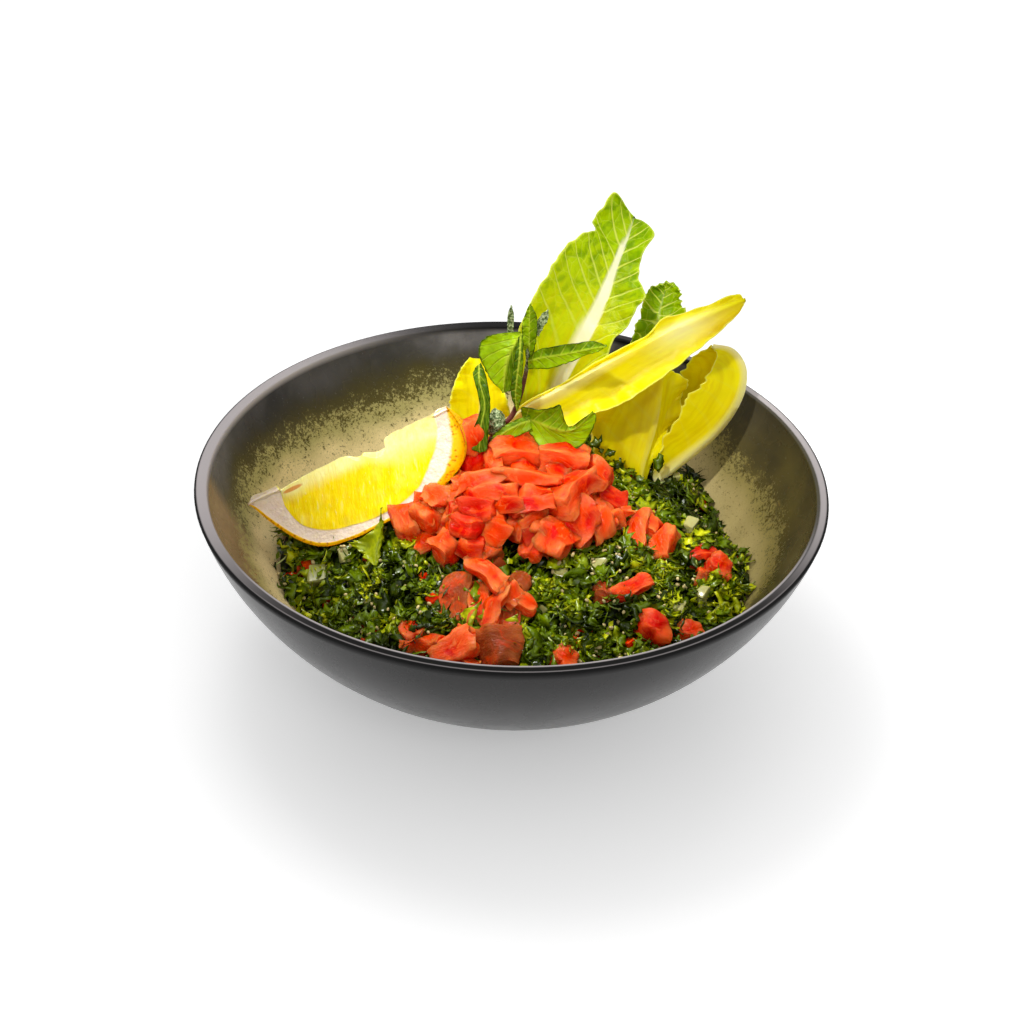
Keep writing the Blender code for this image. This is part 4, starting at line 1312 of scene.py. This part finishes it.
def lemon_point(around, share, lines, wedge):
    """(place in the wedge's own axes, depth under the rind in mm, place on the flat cut face).

    Going round, the front face is from -2 to -1, the outside to 1, the back face to 2, then the core."""
    core, flesh, zest, outside = (smooth_path(line, share) for line in lines)
    core += Vector((0, 0.0006 * noise.noise(Vector((share * 30, 4, 0))), 0))
    side, front, rolled = abs(around), around < 0, 0.0
    if side <= 1:
        return swung(outside, wedge * (around + 1) / 2), 0.0, outside
    flesh_depth = FLESH_MM + min((flesh - core).length / 0.001, 1)
    full_depth = flesh_depth + (flesh - core).length * 1000
    if side >= 2:
        # Both faces end at the core, the back one a little out from it.
        part = (side - 2) / 0.3 / 2
        back_end = swung(core, wedge, CORE_GAP)
        return swung(core, 0.0).lerp(back_end, part if front else 1 - part), full_depth, core
    if side <= RIM_END:
        # The rind rolls over the cut face's edge, widest at the upper end.
        part = (side - 1) / (RIM_END - 1)
        flat, depth = outside.lerp(zest, part), ZEST_MM * part
        rolled = (outside - zest).length * (1 - math.sqrt(1 - (1 - part) ** 2))
    elif side <= PITH_END:
        part = (side - RIM_END) / (PITH_END - RIM_END)
        flat, depth = zest.lerp(flesh, part), ZEST_MM + (flesh_depth - ZEST_MM) * part
    else:
        part = (side - PITH_END) / (2 - PITH_END)
        flat, depth = flesh.lerp(core, part), flesh_depth + (flesh - core).length * 1000 * part
    # The face sags between the rind and the core.
    hollow = math.sin(math.pi * (side - 1))
    sag, ripple = 0.0009 * hollow, 0.0004 * noise.noise(flat * 300) * hollow
    local = swung(flat, 0.0) if front else swung(flat, wedge, CORE_GAP)
    way = Vector((0, 0, 1)) if front else Vector((0, math.sin(wedge), -math.cos(wedge)))
    return local + way * (rolled + sag + ripple), depth, flat


class TABBOULEH_OT_lemon(bpy.types.Operator):
    """Cut the lemon wedge: flesh on two sides, pith and zest round the outside"""

    bl_idname = "tabbouleh.lemon"
    bl_label = "Lemon wedge"

    def execute(self, context):
        bm = bmesh.new()
        bmesh.ops.create_grid(bm, x_segments=96, y_segments=110, size=1)
        depth, across, along = (float_layer(bm, name) for name in ("depth", "across", "along"))
        wedge = math.radians(LEMON_WEDGE_DEG)
        place = lemon_frame()
        outlines = (LEMON_CORE, LEMON_FLESH, LEMON_ZEST, LEMON_OUTSIDE)
        lines = [[mm(x, out, 0) for x, out in outline] for outline in outlines]
        for vert in bm.verts:
            around, share = vert.co.x * 2.3, (vert.co.y + 1) / 2
            local, vert[depth], flat = lemon_point(around, share, lines, wedge)
            vert[across], vert[along] = flat.y, flat.x
            vert.co = place @ local
        bmesh.ops.remove_doubles(bm, verts=bm.verts, dist=2e-5)
        facing_out(bm)
        material = lemon_finish(context.scene.tabbouleh_lemon)
        add_piece("lemon_slice", bm, material, ["lemon_wedge"], 50)
        return {"FINISHED"}


# Leaves


def leaf_point(spec, u, v):
    """A point of a leaf's middle surface: u from base to tip, v from -1 at the left edge to 1 at the right."""
    rib = smooth_path(spec["rib"], u)
    edge = smooth_path(spec["right" if v > 0 else "left"], u)
    along = smooth_path(spec["rib"], u + 0.03) - smooth_path(spec["rib"], u - 0.03)
    inward = (smooth_path(spec["right"], u) - smooth_path(spec["left"], u)).cross(along).normalized()
    width = (edge - rib).length
    side = 2 if v > 0 else 0
    out = abs(v)
    cup = 4 * out * (1 - out) * spec["cup"] * width
    wave = spec["wave"] * out**2.5 * math.sin(u * 23 + side)
    frill = spec["frill"] * out**4 * math.sin(
        u * 61 + 3 * side + 4 * noise.noise(Vector((u * 9, side, 0)))
    )
    ragged = 1 + spec["ragged"] * out**3 * noise.noise(Vector((u * 26, side * 3, spec["seed"])))
    return rib + (edge - rib) * out * ragged + inward * (wave + frill - cup)


def inner_normal(spec, u, v):
    step = 0.02
    along = leaf_point(spec, min(u + step, 1), v) - leaf_point(spec, max(u - step, 0), v)
    across = leaf_point(spec, u, min(v + 2 * step, 1)) - leaf_point(spec, u, max(v - 2 * step, -1))
    return across.cross(along).normalized()


def leaf_shell(spec, thickness, rib_size, grid, greenness):
    """A closed leaf between its rib and its two edges, the rib standing out at the back."""
    spec = {**spec, **{line: [mm(*point) for point in spec[line]] for line in ("rib", "left", "right")}}
    bm = bmesh.new()
    layers = {
        name: float_layer(bm, name) for name in ("along", "aside", "share", "green", "rib", "shade")
    }
    bmesh.ops.create_grid(bm, x_segments=grid[1], y_segments=grid[0], size=1)
    inner_side = list(bm.verts)
    grown = bmesh.ops.extrude_face_region(bm, geom=list(bm.faces), use_keep_orig=True)
    outer_side = [v for v in grown["geom"] if isinstance(v, bmesh.types.BMVert)]
    length = sum((b - a).length for a, b in zip(spec["rib"], spec["rib"][1:]))
    for side, verts in ((1, inner_side), (-1, outer_side)):
        for vert in verts:
            v, u = vert.co.x, (vert.co.y + 1) / 2
            v = math.copysign(abs(v) ** 0.9, v)
            edge = smooth_path(spec["right" if v > 0 else "left"], u)
            width = (edge - smooth_path(spec["rib"], u)).length
            spine = rib_size * (1 - 0.75 * u) * math.exp(-((v / 0.3) ** 2)) if side < 0 else 0
            thin = 1 - 0.6 * abs(v) ** 6
            vert.co = leaf_point(spec, u, v) + inner_normal(spec, u, v) * side * (
                thickness / 2 * thin + spine
            )
            rib_half = spec["rib_mm"] * max(1 - u / spec["rib_end"], 0.02) ** spec.get("rib_taper", 0.7)
            near = abs(v) * width * 1000 / max(rib_half, 0.05)
            vert[layers["along"]], vert[layers["aside"]] = u * length * 100, v * width * 100
            vert[layers["share"]] = abs(v)
            # The shade layer holds painted shade: how much darker the leaf is painted there.
            vert[layers["green"]], vert[layers["shade"]] = greenness(u, v)
            fade = max(min((spec["rib_end"] - u) / 0.2, 1.0), 0.0)
            pale = max(min((1.15 - near) * spec.get("rib_crisp", 1.6), 1.0), 0.0)
            patch = math.exp(-(((u - 0.72) / 0.1) ** 2) - (v / 0.5) ** 2) * spec.get("tip_pale", 0.0)
            vert[layers["rib"]] = max(pale * fade * spec.get("rib_pale", 1.0), patch)
    facing_out(bm)
    return bm


# Each leaf's rib and edges from base to tip, in mm. Seen from its inner side, left is on the left. The tone
# gives how green the base, the tip and the edges are, and the painted shades how much painted shade darkens
# each half.
LETTUCE = {
    "lettuce_tall": dict(
        rib=[
            (6, 30, 58), (9, 34, 69), (13, 39, 80), (22.7, 46, 100.8), (25.8, 49.5, 106.6),
            (28.2, 52.5, 111), (30.6, 56, 116.4), (32.7, 60, 121.4), (35, 63.5, 126.4), (36.9, 66, 131),
            (38.4, 67.5, 135.6),
        ],
        left=[
            (2, 28, 60), (1, 31, 71), (-0.2, 38, 96), (1.2, 40.5, 107.2), (3.4, 43, 112.6),
            (6.6, 46, 119), (10.5, 49, 124.6), (13.5, 52, 128.9), (16.8, 55, 132), (21.3, 58, 133.9),
            (25.4, 61, 134.2), (24.5, 62, 136.6), (27.6, 63, 141.8), (31.1, 63.5, 147),
            (38.4, 67.5, 135.6),
        ],
        right=[
            (11, 28, 60), (15, 31, 71), (19, 35, 82), (29.2, 39, 94.7), (33, 42, 102.7),
            (37.5, 45, 105.6), (40.2, 48, 111.6), (42.9, 50, 115), (40.9, 53.5, 119.3),
            (41.1, 57, 123.4), (41.9, 60, 126.9), (45.2, 62, 132.3), (42.9, 65, 134.8),
            (38.4, 67.5, 135.6),
        ],
        cup=0.12, wave=0.0008, frill=0.0006, ragged=0.05, rib_mm=3.8, rib_end=1.05, rib_taper=0.85,
        rib_crisp=4,
        tone=(0.45, 1.1, 0.15), painted_shades=(0.0, 0.4),
    ),
    "lettuce_back": dict(
        rib=[
            (34, 50, 54), (38, 56, 70), (47.7, 62, 95.8), (49.3, 66, 101), (50.5, 69, 105.5),
            (51.3, 70, 109.5),
        ],
        left=[
            (32, 49, 55), (36, 54, 70), (39.6, 58, 91.2), (41.1, 61, 97), (43, 64, 102.7),
            (44.6, 67, 107.6), (47.8, 69, 109.3), (51.3, 70, 109.8),
        ],
        right=[
            (37, 48, 55), (43, 54, 72), (57.6, 58, 96), (58.1, 62, 101), (56.4, 65, 105.3),
            (55.8, 68, 108.4), (51.3, 70, 109.8),
        ],
        cup=0.2, wave=0.0014, frill=0.0016, ragged=0.14, rib_mm=0.6, rib_end=0.9, rib_pale=0.3,
        tone=(0.9, 1.2, 0.1),
        painted_shades=(0.45, 0.3), folds=0.4,
    ),
    "lettuce_long": dict(
        rib=[
            (-5, 21, 76), (3.4, 22, 86.4), (11.3, 24, 90.4), (19.4, 26, 94.4), (27.5, 28.5, 98.8),
            (35.6, 31, 102.5), (43.8, 34, 105.8), (52, 37, 109.6), (61.6, 41, 112.8), (70.5, 44, 115.8),
            (76.6, 46, 117.2),
        ],
        left=[
            (-6, 22.5, 78), (3.4, 23, 87.7), (10.5, 25, 91.2), (17.3, 27, 94.5), (24, 29, 98.8),
            (30.8, 31.5, 102.2), (37.6, 34, 105.2), (44.4, 37, 108.1), (48.1, 40, 111.5),
            (54, 42, 113.2), (61.6, 44, 115.1), (69.8, 46, 117.7), (73.9, 47, 118.6), (76.6, 46, 117.2),
        ],
        right=[
            (-3, 20, 74), (4.2, 20, 80.5), (10.9, 19, 80.9), (19.2, 19, 81.6), (26, 20, 85.8),
            (33.5, 22, 87.9), (40.2, 24, 91.2), (47, 27, 95.1), (53.7, 29.5, 99.8), (60.4, 33, 104.7),
            (65.9, 36, 107.9), (70.6, 39, 111.5), (74.9, 43, 114.6), (76.6, 46, 117.2),
        ],
        cup=0.22, wave=0.0006, frill=0.0007, ragged=0.05, rib_mm=4, rib_end=0.6, rib_taper=0.5,
        rib_crisp=0.55,
        rib_pale=0.85, tip_pale=0.55, tone=(-0.2, 0.35, 0.0), painted_shades=(0.0, 0.6), shade_from=0.70,
        folds=0.45,
    ),
    "lettuce_curled": dict(
        rib=[
            (49.2, 33, 51.6), (55.3, 35, 56.9), (62.2, 37, 62.3), (69.1, 40, 67.9), (74.6, 43, 74.6),
            (78, 46, 82.1), (78, 49, 89), (73.9, 50, 94.6), (67.3, 49, 96.8),
        ],
        left=[
            (49.1, 40, 49.5), (50.9, 48, 54.8), (54.1, 54, 64), (57.9, 57, 74.4), (58.8, 57, 82.8),
            (61.8, 55, 89.7), (66.8, 51, 95.6),
        ],
        right=[
            (49.1, 33, 52.4), (49.9, 33, 60.2), (52.2, 35, 67.4), (55.7, 37, 74.7), (58.8, 39, 81.1),
            (62.5, 41, 84.9), (65.6, 43, 88.4), (68.5, 46, 93.7), (67.4, 49, 96.2),
        ],
        cup=0.05, wave=0.0004, frill=0.0004, ragged=0.05, rib_mm=3.6, rib_end=1.6, rib_crisp=0.9,
        rib_pale=0.6,
        tone=(-0.2, 0.2, 0.1), painted_shades=(0.3, 0.0), folds=0.4,
    ),
    "lettuce_heart": dict(
        rib=[
            (44, 26, 48), (45, 29, 58), (47, 33, 65), (49, 37, 72), (50, 41, 80), (50.8, 45, 88.2),
        ],
        left=[
            (40, 25, 48), (31, 26, 59.7), (26.6, 25, 69.4), (26.6, 26, 79.6), (30.2, 30, 85.5),
            (39.3, 36, 88.7), (48.6, 44, 88.8),
        ],
        right=[
            (46, 27, 48), (48, 31, 58), (51.5, 36, 65), (55.6, 41, 70.3), (57.4, 43, 76),
            (58.8, 45, 81.5), (58.1, 46, 85.9), (53.7, 46, 88.6),
        ],
        cup=0.16, wave=0.0016, frill=0.0005, ragged=0.06, rib_mm=0.5, rib_end=0.9, rib_pale=0.15,
        tone=(0.0, 0.1, 0.0), painted_shades=(0.3, -0.5), folds=0.9,
    ),
    "lettuce_left": dict(
        rib=[(-9, 26, 58), (-11, 30, 70), (-11, 34, 80), (-12, 38, 88), (-14, 42, 93)],
        left=[(-13, 25, 59), (-20, 28, 71), (-22, 31, 81), (-20, 36, 89), (-16, 41, 94)],
        right=[(-4, 25, 59), (-1, 28, 72), (-2, 31, 81), (-6, 36, 90), (-11, 41, 94)],
        cup=0.12, wave=0.0008, frill=0.0004, ragged=0.06, rib_mm=1.4, rib_end=0.9,
        tone=(-0.2, 0.1, 0.1),
        painted_shades=(0.0, 0.0),
    ),
}


def lettuce_tones(spec, seed):
    """How green a lettuce leaf is at (u, v) and how much painted shade darkens it, on a shaded half and in
    folds that run up it.
    """
    base, tip, edge = spec["tone"]
    left, right = spec["painted_shades"]
    start, folds = spec.get("shade_from", 0.0), spec.get("folds", 0.0)

    def tones(u, v):
        half = min(abs(v) * 6, 1) * (left if v < 0 else right) * max(0, min((u - start) * 9, 1))
        fold_shade = noise.noise(Vector((v * 3.2 + 0.8 * math.sin(4 * u), u * 1.4, seed + 5.5)))
        return base + (tip - base) * u**1.2 + edge * v * v, min(
            max(half + folds * max(fold_shade, 0) * 1.6, 0), 1
        )

    return tones


class TABBOULEH_OT_lettuce(bpy.types.Operator):
    """Stand the romaine leaves in the salad"""

    bl_idname = "tabbouleh.lettuce"
    bl_label = "Lettuce"

    def execute(self, context):
        settings = context.scene.tabbouleh_lettuce
        material = lettuce_finish(settings)
        for seed, (name, spec) in enumerate(LETTUCE.items()):
            bm = leaf_shell(
                dict(spec, seed=seed), settings.thickness, 0.0022, (110, 40), lettuce_tones(spec, seed)
            )
            add_piece(name.replace("lettuce", "romaine"), bm, material, [name], 80)
        return {"FINISHED"}


STEM = [
    (-14, 23, 58), (-10.6, 19, 70), (-7.6, 18, 76.3), (-3.6, 18, 81.8), (-0.6, 19, 85.3),
    (1.3, 20, 90.5),
    (2.5, 21, 95.5), (3.4, 22, 100.6), (3.9, 23, 106), (2.6, 25, 112),
]
# Each mint leaf as for the lettuce. Dark says how dark it is, 1 being young and downy.
MINT = [
    dict(  # the large one at the left, hanging down
        rib=[
            (1.5, 19, 116.8), (-0.4, 16, 115), (-2.6, 13.5, 110.9), (-3.6, 12, 105.5), (-3.8, 11, 98.8)
        ],
        left=[
            (1.9, 19, 116.5), (1.8, 17, 112.9), (2, 15, 108.6), (1.7, 13, 104.3), (0.7, 12, 100.1),
            (-1.5, 11.5, 99.4), (-3.8, 11, 98.7),
        ],
        right=[
            (1.2, 19, 117.4), (-5.2, 17, 117.9), (-10.8, 15, 116.7), (-12.4, 13.5, 112.1),
            (-9.9, 12.5, 106.1), (-7.3, 12, 102), (-3.8, 11, 98.7),
        ],
        dark=0.15, painted_shades=(0.8, 0.0),
    ),
    dict(  # the level one at the right
        rib=[
            (4, 21, 105.3), (9.9, 19, 108.3), (16.6, 17.5, 110.6), (23.3, 16, 113.4), (29.4, 15, 115.4)
        ],
        left=[
            (4.1, 21, 106.6), (7.2, 20.5, 109.9), (12.5, 19, 112.4), (19.2, 18, 114.4), (25.2, 17, 116),
            (29.4, 15, 115.6),
        ],
        right=[
            (4.1, 21, 102.4), (8.1, 19, 103.5), (13.5, 17.5, 105.5), (18.1, 16.5, 108.2),
            (22.7, 16, 111.1), (26.7, 15.5, 113), (29.4, 15, 115.3),
        ],
        dark=0.1, painted_shades=(0.9, 0.0),
    ),
    dict(  # the upright one
        rib=[
            (4.5, 23, 103.2), (4.2, 23.5, 109.2), (4, 24, 115.2), (3.9, 24.5, 120.4), (3.9, 25, 124.6)
        ],
        left=[(4.1, 23, 103.2), (2.5, 23, 108.7), (1.7, 23, 114.1), (1.9, 24, 119), (3.9, 25, 124.7)],
        right=[
            (4.9, 23, 103.2), (5.9, 23, 108.8), (6.6, 23, 115.1), (6.2, 24, 120.8), (3.9, 25, 124.7)
        ],
        dark=0.25, painted_shades=(0.0, 0.4),
    ),
    dict(  # two narrow ones behind it
        rib=[(-2.2, 27, 111.3), (-2.3, 27, 115.6), (-2.3, 27, 119.5), (-2.2, 27, 122.8)],
        left=[(-3.1, 27, 111.2), (-3.3, 27, 115.5), (-3.2, 27, 119.5), (-2.2, 27, 122.8)],
        right=[(-1.2, 27, 111.3), (-1.2, 27, 115.6), (-1.3, 27, 119.5), (-2.2, 27, 122.8)],
        dark=1.0, painted_shades=(0.0, 0.0),
    ),
    dict(
        rib=[(6.3, 26, 112.6), (7.5, 26, 115.8), (8.7, 26.5, 118.6), (10, 27, 121.4)],
        left=[(5.6, 26, 112.9), (6.3, 26, 116.5), (7.8, 26.5, 119.8), (9.9, 27, 121.5)],
        right=[(7.2, 26, 112), (8.6, 26, 115.4), (10.1, 26.5, 118.3), (10, 27, 121.3)],
        dark=1.0, painted_shades=(0.0, 0.0),
    ),
    dict(  # the large one low at the right, notched in the middle
        rib=[(2.8, 13, 88.4), (8, 9, 89.1), (13.5, 6, 88.4), (19.6, 5, 89.3), (25.7, 5, 96.1)],
        left=[
            (2.4, 13, 90), (2.7, 11, 93.5), (7.8, 9, 93.9), (12.2, 8, 95.5), (14.8, 7, 97),
            (16.6, 6, 92.5), (18.3, 5.5, 89.3), (21.4, 5, 92.6), (25.7, 5, 96.3),
        ],
        right=[
            (2.5, 12, 87.4), (5.4, 8, 84.8), (9.6, 5, 82), (15.1, 4, 81.5), (19.9, 4, 82.3),
            (23.5, 4, 84.4), (26, 4.5, 89.9), (26.9, 5, 94.4), (25.7, 5, 96.2),
        ],
        dark=0.2, painted_shades=(0.5, 0.0),
    ),
    dict(  # the blade to its lower left
        rib=[(5.3, 10, 88.8), (1.2, 8, 88.3), (-4.1, 6.5, 85.4), (-8.4, 6, 80.7)],
        left=[(6, 8, 86.8), (2, 7, 84.9), (-2.7, 6, 82.8), (-7.4, 6, 79.5), (-8.6, 6, 80.5)],
        right=[(5.2, 11, 90.2), (0.5, 10, 89), (-4.2, 8, 86.8), (-7.2, 7, 83.7), (-8.6, 6, 80.7)],
        dark=0.25, painted_shades=(0.0, 0.5),
    ),
    dict(  # the long dark one at the left
        rib=[
            (-12.1, 16, 106.3), (-11.8, 12, 102.2), (-9.8, 8, 95.6), (-11, 4.5, 88.2), (-11.1, 2, 80.9)
        ],
        left=[
            (-11.5, 16, 106.9), (-9.8, 13, 103.9), (-8.2, 9, 97.6), (-8.1, 6, 92), (-8.4, 3.5, 87),
            (-8.8, 2, 82), (-11.1, 2, 80.9),
        ],
        right=[
            (-12.8, 16, 105.5), (-14.1, 14, 103.9), (-12.4, 10, 99.6), (-11.3, 7, 94.1),
            (-13.3, 4, 88.6),
            (-14.2, 3, 83.6), (-13.1, 2, 81.6), (-11.1, 2, 80.9),
        ],
        dark=0.85, painted_shades=(0.2, 0.0),
    ),
    dict(  # the narrow dark one that hangs beside the stem
        rib=[(1.2, 15, 118.2), (1.1, 12, 112), (0.5, 10.5, 105), (0.2, 10, 98.2), (0.9, 10, 92.6)],
        left=[(1.9, 15, 118.4), (2.3, 12, 112), (2.2, 10.5, 105.1), (2.2, 10, 98.3), (1, 10, 92.5)],
        right=[
            (0.6, 15, 117.9), (-0.4, 12, 111.9), (-1.1, 10.5, 104.9), (-1.3, 10, 98.9), (0.8, 10, 92.5)
        ],
        dark=0.7, painted_shades=(0.0, 0.3),
    ),
]
BUD = [(-6.6, 14, 91), (-6.1, 13, 88.6), (-6.1, 12.5, 86.4), (-6.8, 12, 84), (-7.8, 12, 81.5)]


def tube(points, radii, sides=10, rings=48):
    """A closed round tube along a smooth path in millimetres, whose radius goes through radii."""
    points = [mm(*point) for point in points]
    bm = bmesh.new()
    bmesh.ops.create_cone(bm, cap_ends=True, segments=sides, radius1=1, radius2=1, depth=2)
    upright = [e for e in bm.edges if abs(e.verts[0].co.z - e.verts[1].co.z) > 1]
    bmesh.ops.subdivide_edges(bm, edges=upright, cuts=rings - 1)
    for vert in bm.verts:
        u = (vert.co.z + 1) / 2
        along = (smooth_path(points, u + 0.01) - smooth_path(points, u - 0.01)).normalized()
        across = along.cross(Vector((0.3, 1, 0))).normalized()
        up = across.cross(along)
        at = u * (len(radii) - 1)
        k = min(int(at), len(radii) - 2)
        radius = radii[k] + (radii[k + 1] - radii[k]) * (at - k)
        vert.co = smooth_path(points, u) + (across * vert.co.x + up * vert.co.y) * radius
    facing_out(bm)
    return bm


class TABBOULEH_OT_mint(bpy.types.Operator):
    """Stand the mint sprig in the salad"""

    bl_idname = "tabbouleh.mint"
    bl_label = "Mint"

    def execute(self, context):
        settings = context.scene.tabbouleh_mint
        leaf, stem = mint_finish(settings), mint_stem_finish(settings)
        for k, shape in enumerate(MINT):
            spec = dict(
                shape, seed=k + 20, cup=0.1, wave=0.0003, frill=0.0003, ragged=0.06, rib_mm=0.35,
                rib_end=1.1
            )
            dark, (left, right) = spec["dark"], spec["painted_shades"]
            bm = leaf_shell(
                spec, 0.0005, 0.0005, (60, 24), lambda u,
                v: (dark, min(abs(v) * 6, 1) * (left if v < 0 else right))
            )
            add_piece(f"mint_leaf_{k + 1}", bm, stem if dark == 1 else leaf, ["mint_sprig"], 80)
        bm = tube(STEM, (0.0011, 0.0010, 0.0009, 0.0009, 0.0008, 0.0007, 0.0006))
        fill_layer(bm, "green", lambda vert: max(0.0, min(1.0, (vert.co.z - 0.098) / 0.008)))
        add_piece("mint_stem", bm, stem, ["mint_sprig"])
        bm = tube(BUD, (0.0004, 0.0026, 0.0034, 0.0028, 0.0004), 18, 30)
        fill_layer(bm, "green", lambda vert: 1.0)
        for vert in bm.verts:
            vert.co += noise.noise_vector(vert.co / 0.0014) * 0.0008
        add_piece("mint_bud", bm, stem, ["mint_sprig"])
        return {"FINISHED"}


# The stage


def in_scene(scene, name, data):
    made = bpy.data.objects.new(name, data)
    scene.collection.objects.link(made)
    return made


def pale_floor(scene, settings):
    """A wide floor with a little light of its own, as if lit through from below."""
    bm = bmesh.new()
    bmesh.ops.create_grid(bm, x_segments=2, y_segments=2, size=6)
    mesh = bpy.data.meshes.new("floor")
    bm.to_mesh(mesh)
    bm.free()
    finish = Finish("pale_floor")
    white = (*settings.floor, 1)
    mesh.materials.append(finish.finish(
        base_color=white, roughness=0.9, specular=0.1, emission_color=white,
        emission_strength=settings.glow
    ))
    return in_scene(scene, "floor", mesh)


def white_surroundings(settings):
    """White all round: full for the camera, less in glossy things, and soft as light."""
    world = bpy.data.worlds.new("white_surroundings")
    world.use_nodes = True
    tree = world.node_tree
    background = tree.nodes["Background"]
    ray = tree.nodes.new("ShaderNodeLightPath").outputs
    lit = tree.nodes.new("ShaderNodeMapRange")
    lit.inputs["To Min"].default_value = settings.sky
    lit.inputs["To Max"].default_value = settings.shine
    tree.links.new(ray["Is Glossy Ray"], lit.inputs["Value"])
    strength = tree.nodes.new("ShaderNodeMapRange")
    strength.inputs["To Max"].default_value = 1.0
    tree.links.new(lit.outputs[0], strength.inputs["To Min"])
    tree.links.new(ray["Is Camera Ray"], strength.inputs["Value"])
    tree.links.new(strength.outputs[0], background.inputs["Strength"])
    background.inputs["Color"].default_value = (1, 1, 1, 1)
    return world


def soft_lights(scene, settings):
    """A broad light from behind, two soft boxes, and two narrow lights on the food."""
    lights = bpy.data.lights
    sun = lights.new("back_light", "SUN")
    sun.energy, sun.angle = settings.sun, math.radians(60)
    key, front = lights.new("key_light", "AREA"), lights.new("front_light", "AREA")
    key.energy, key.size = settings.key, 0.3
    front.energy, front.size = settings.front, 0.35
    spot, lift = lights.new("food_light", "SPOT"), lights.new("food_front_light", "SPOT")
    # The two narrow lights keep inside the rim, so that none of their light falls on the floor.
    spot.energy, spot.spot_size, spot.spot_blend = settings.spot, math.radians(7.5), 0.5
    lift.energy, lift.spot_size, lift.spot_blend = settings.lift, math.radians(8.6), 0.3
    spot.shadow_soft_size, lift.shadow_soft_size = 0.022, 0.025
    middle = Vector((0, 0, 0.06))
    places = (
        (sun, (-0.1, 0.75, 1.0), middle), (key, (-0.2, 0.3, 0.9), middle),
        (front, (0.24, -0.8, 0.6), middle),
        (spot, (-0.22, 0.32, 1.15), mm(0, 0, 80)), (lift, (-0.30, -0.55, 1.05), mm(8, 33, 85)),
    )
    for lamp, place, aim in places:
        light = in_scene(scene, lamp.name, lamp)
        light.location = place
        light.rotation_euler = (aim - Vector(place)).to_track_quat("-Z", "Y").to_euler()


def camera(scene, settings):
    """The camera looks down at the bowl from the front, turned a little on its side."""
    target, place, roll = mm(0.34, 0, 58.87), mm(0, -666.6, 513.3), math.radians(1.956)
    made = in_scene(scene, "camera", bpy.data.cameras.new("camera"))
    made.data.lens, made.data.sensor_width, made.data.clip_end = settings.lens, 36, 20
    ahead = (target - place).normalized()
    right = ahead.cross(Vector((0, 0, 1))).normalized()
    turned = right * math.cos(roll) + right.cross(ahead) * math.sin(roll)
    axes = Matrix((turned, turned.cross(ahead), -ahead)).transposed()
    made.matrix_world = Matrix.Translation(target - ahead * settings.distance) @ axes.to_4x4()
    return made


class TABBOULEH_OT_stage(bpy.types.Operator):
    """Set a pale floor, white surroundings, a large soft light and the camera"""

    bl_idname = "tabbouleh.stage"
    bl_label = "Stage"

    def execute(self, context):
        scene, settings = context.scene, context.scene.tabbouleh_stage
        scene.view_settings.view_transform = "Standard"
        scene.view_settings.look = "None"
        scene.world = white_surroundings(settings)
        pale_floor(scene, settings)
        soft_lights(scene, settings)
        scene.camera = camera(scene, settings)
        return {"FINISHED"}


class TABBOULEH_PT_panel(bpy.types.Panel):
    bl_idname = "TABBOULEH_PT_panel"
    bl_label = "Tabbouleh salad"
    bl_space_type = "VIEW_3D"
    bl_region_type = "UI"
    bl_category = "Tabbouleh"

    def draw(self, context):
        for operator, group in STEPS:
            box = self.layout.box()
            box.operator(operator.bl_idname)
            settings = getattr(context.scene, group, None)
            for name in settings.__annotations__ if settings else ():
                box.prop(settings, name)


GROUPS = {
    "tabbouleh_bowl": BowlSettings,
    "tabbouleh_salad": SaladSettings,
    "tabbouleh_tomato": TomatoSettings,
    "tabbouleh_lemon": LemonSettings,
    "tabbouleh_lettuce": LettuceSettings,
    "tabbouleh_mint": MintSettings,
    "tabbouleh_stage": StageSettings,
}
STEPS = (
    (TABBOULEH_OT_bowl, "tabbouleh_bowl"),
    (TABBOULEH_OT_salad, "tabbouleh_salad"),
    (TABBOULEH_OT_tomato, "tabbouleh_tomato"),
    (TABBOULEH_OT_lemon, "tabbouleh_lemon"),
    (TABBOULEH_OT_lettuce, "tabbouleh_lettuce"),
    (TABBOULEH_OT_mint, "tabbouleh_mint"),
    (TABBOULEH_OT_stage, "tabbouleh_stage"),
)
CLASSES = (*GROUPS.values(), *(operator for operator, _ in STEPS), TABBOULEH_PT_panel)


def register():
    for cls in CLASSES:
        bpy.utils.register_class(cls)
    for name, cls in GROUPS.items():
        setattr(bpy.types.Scene, name, PointerProperty(type=cls))


def unregister():
    for name in GROUPS:
        delattr(bpy.types.Scene, name)
    for cls in reversed(CLASSES):
        bpy.utils.unregister_class(cls)


def main():
    register()
    for operator, _ in STEPS:
        group, name = operator.bl_idname.split(".")
        getattr(getattr(bpy.ops, group), name)()


if __name__ == "__main__":
    main()
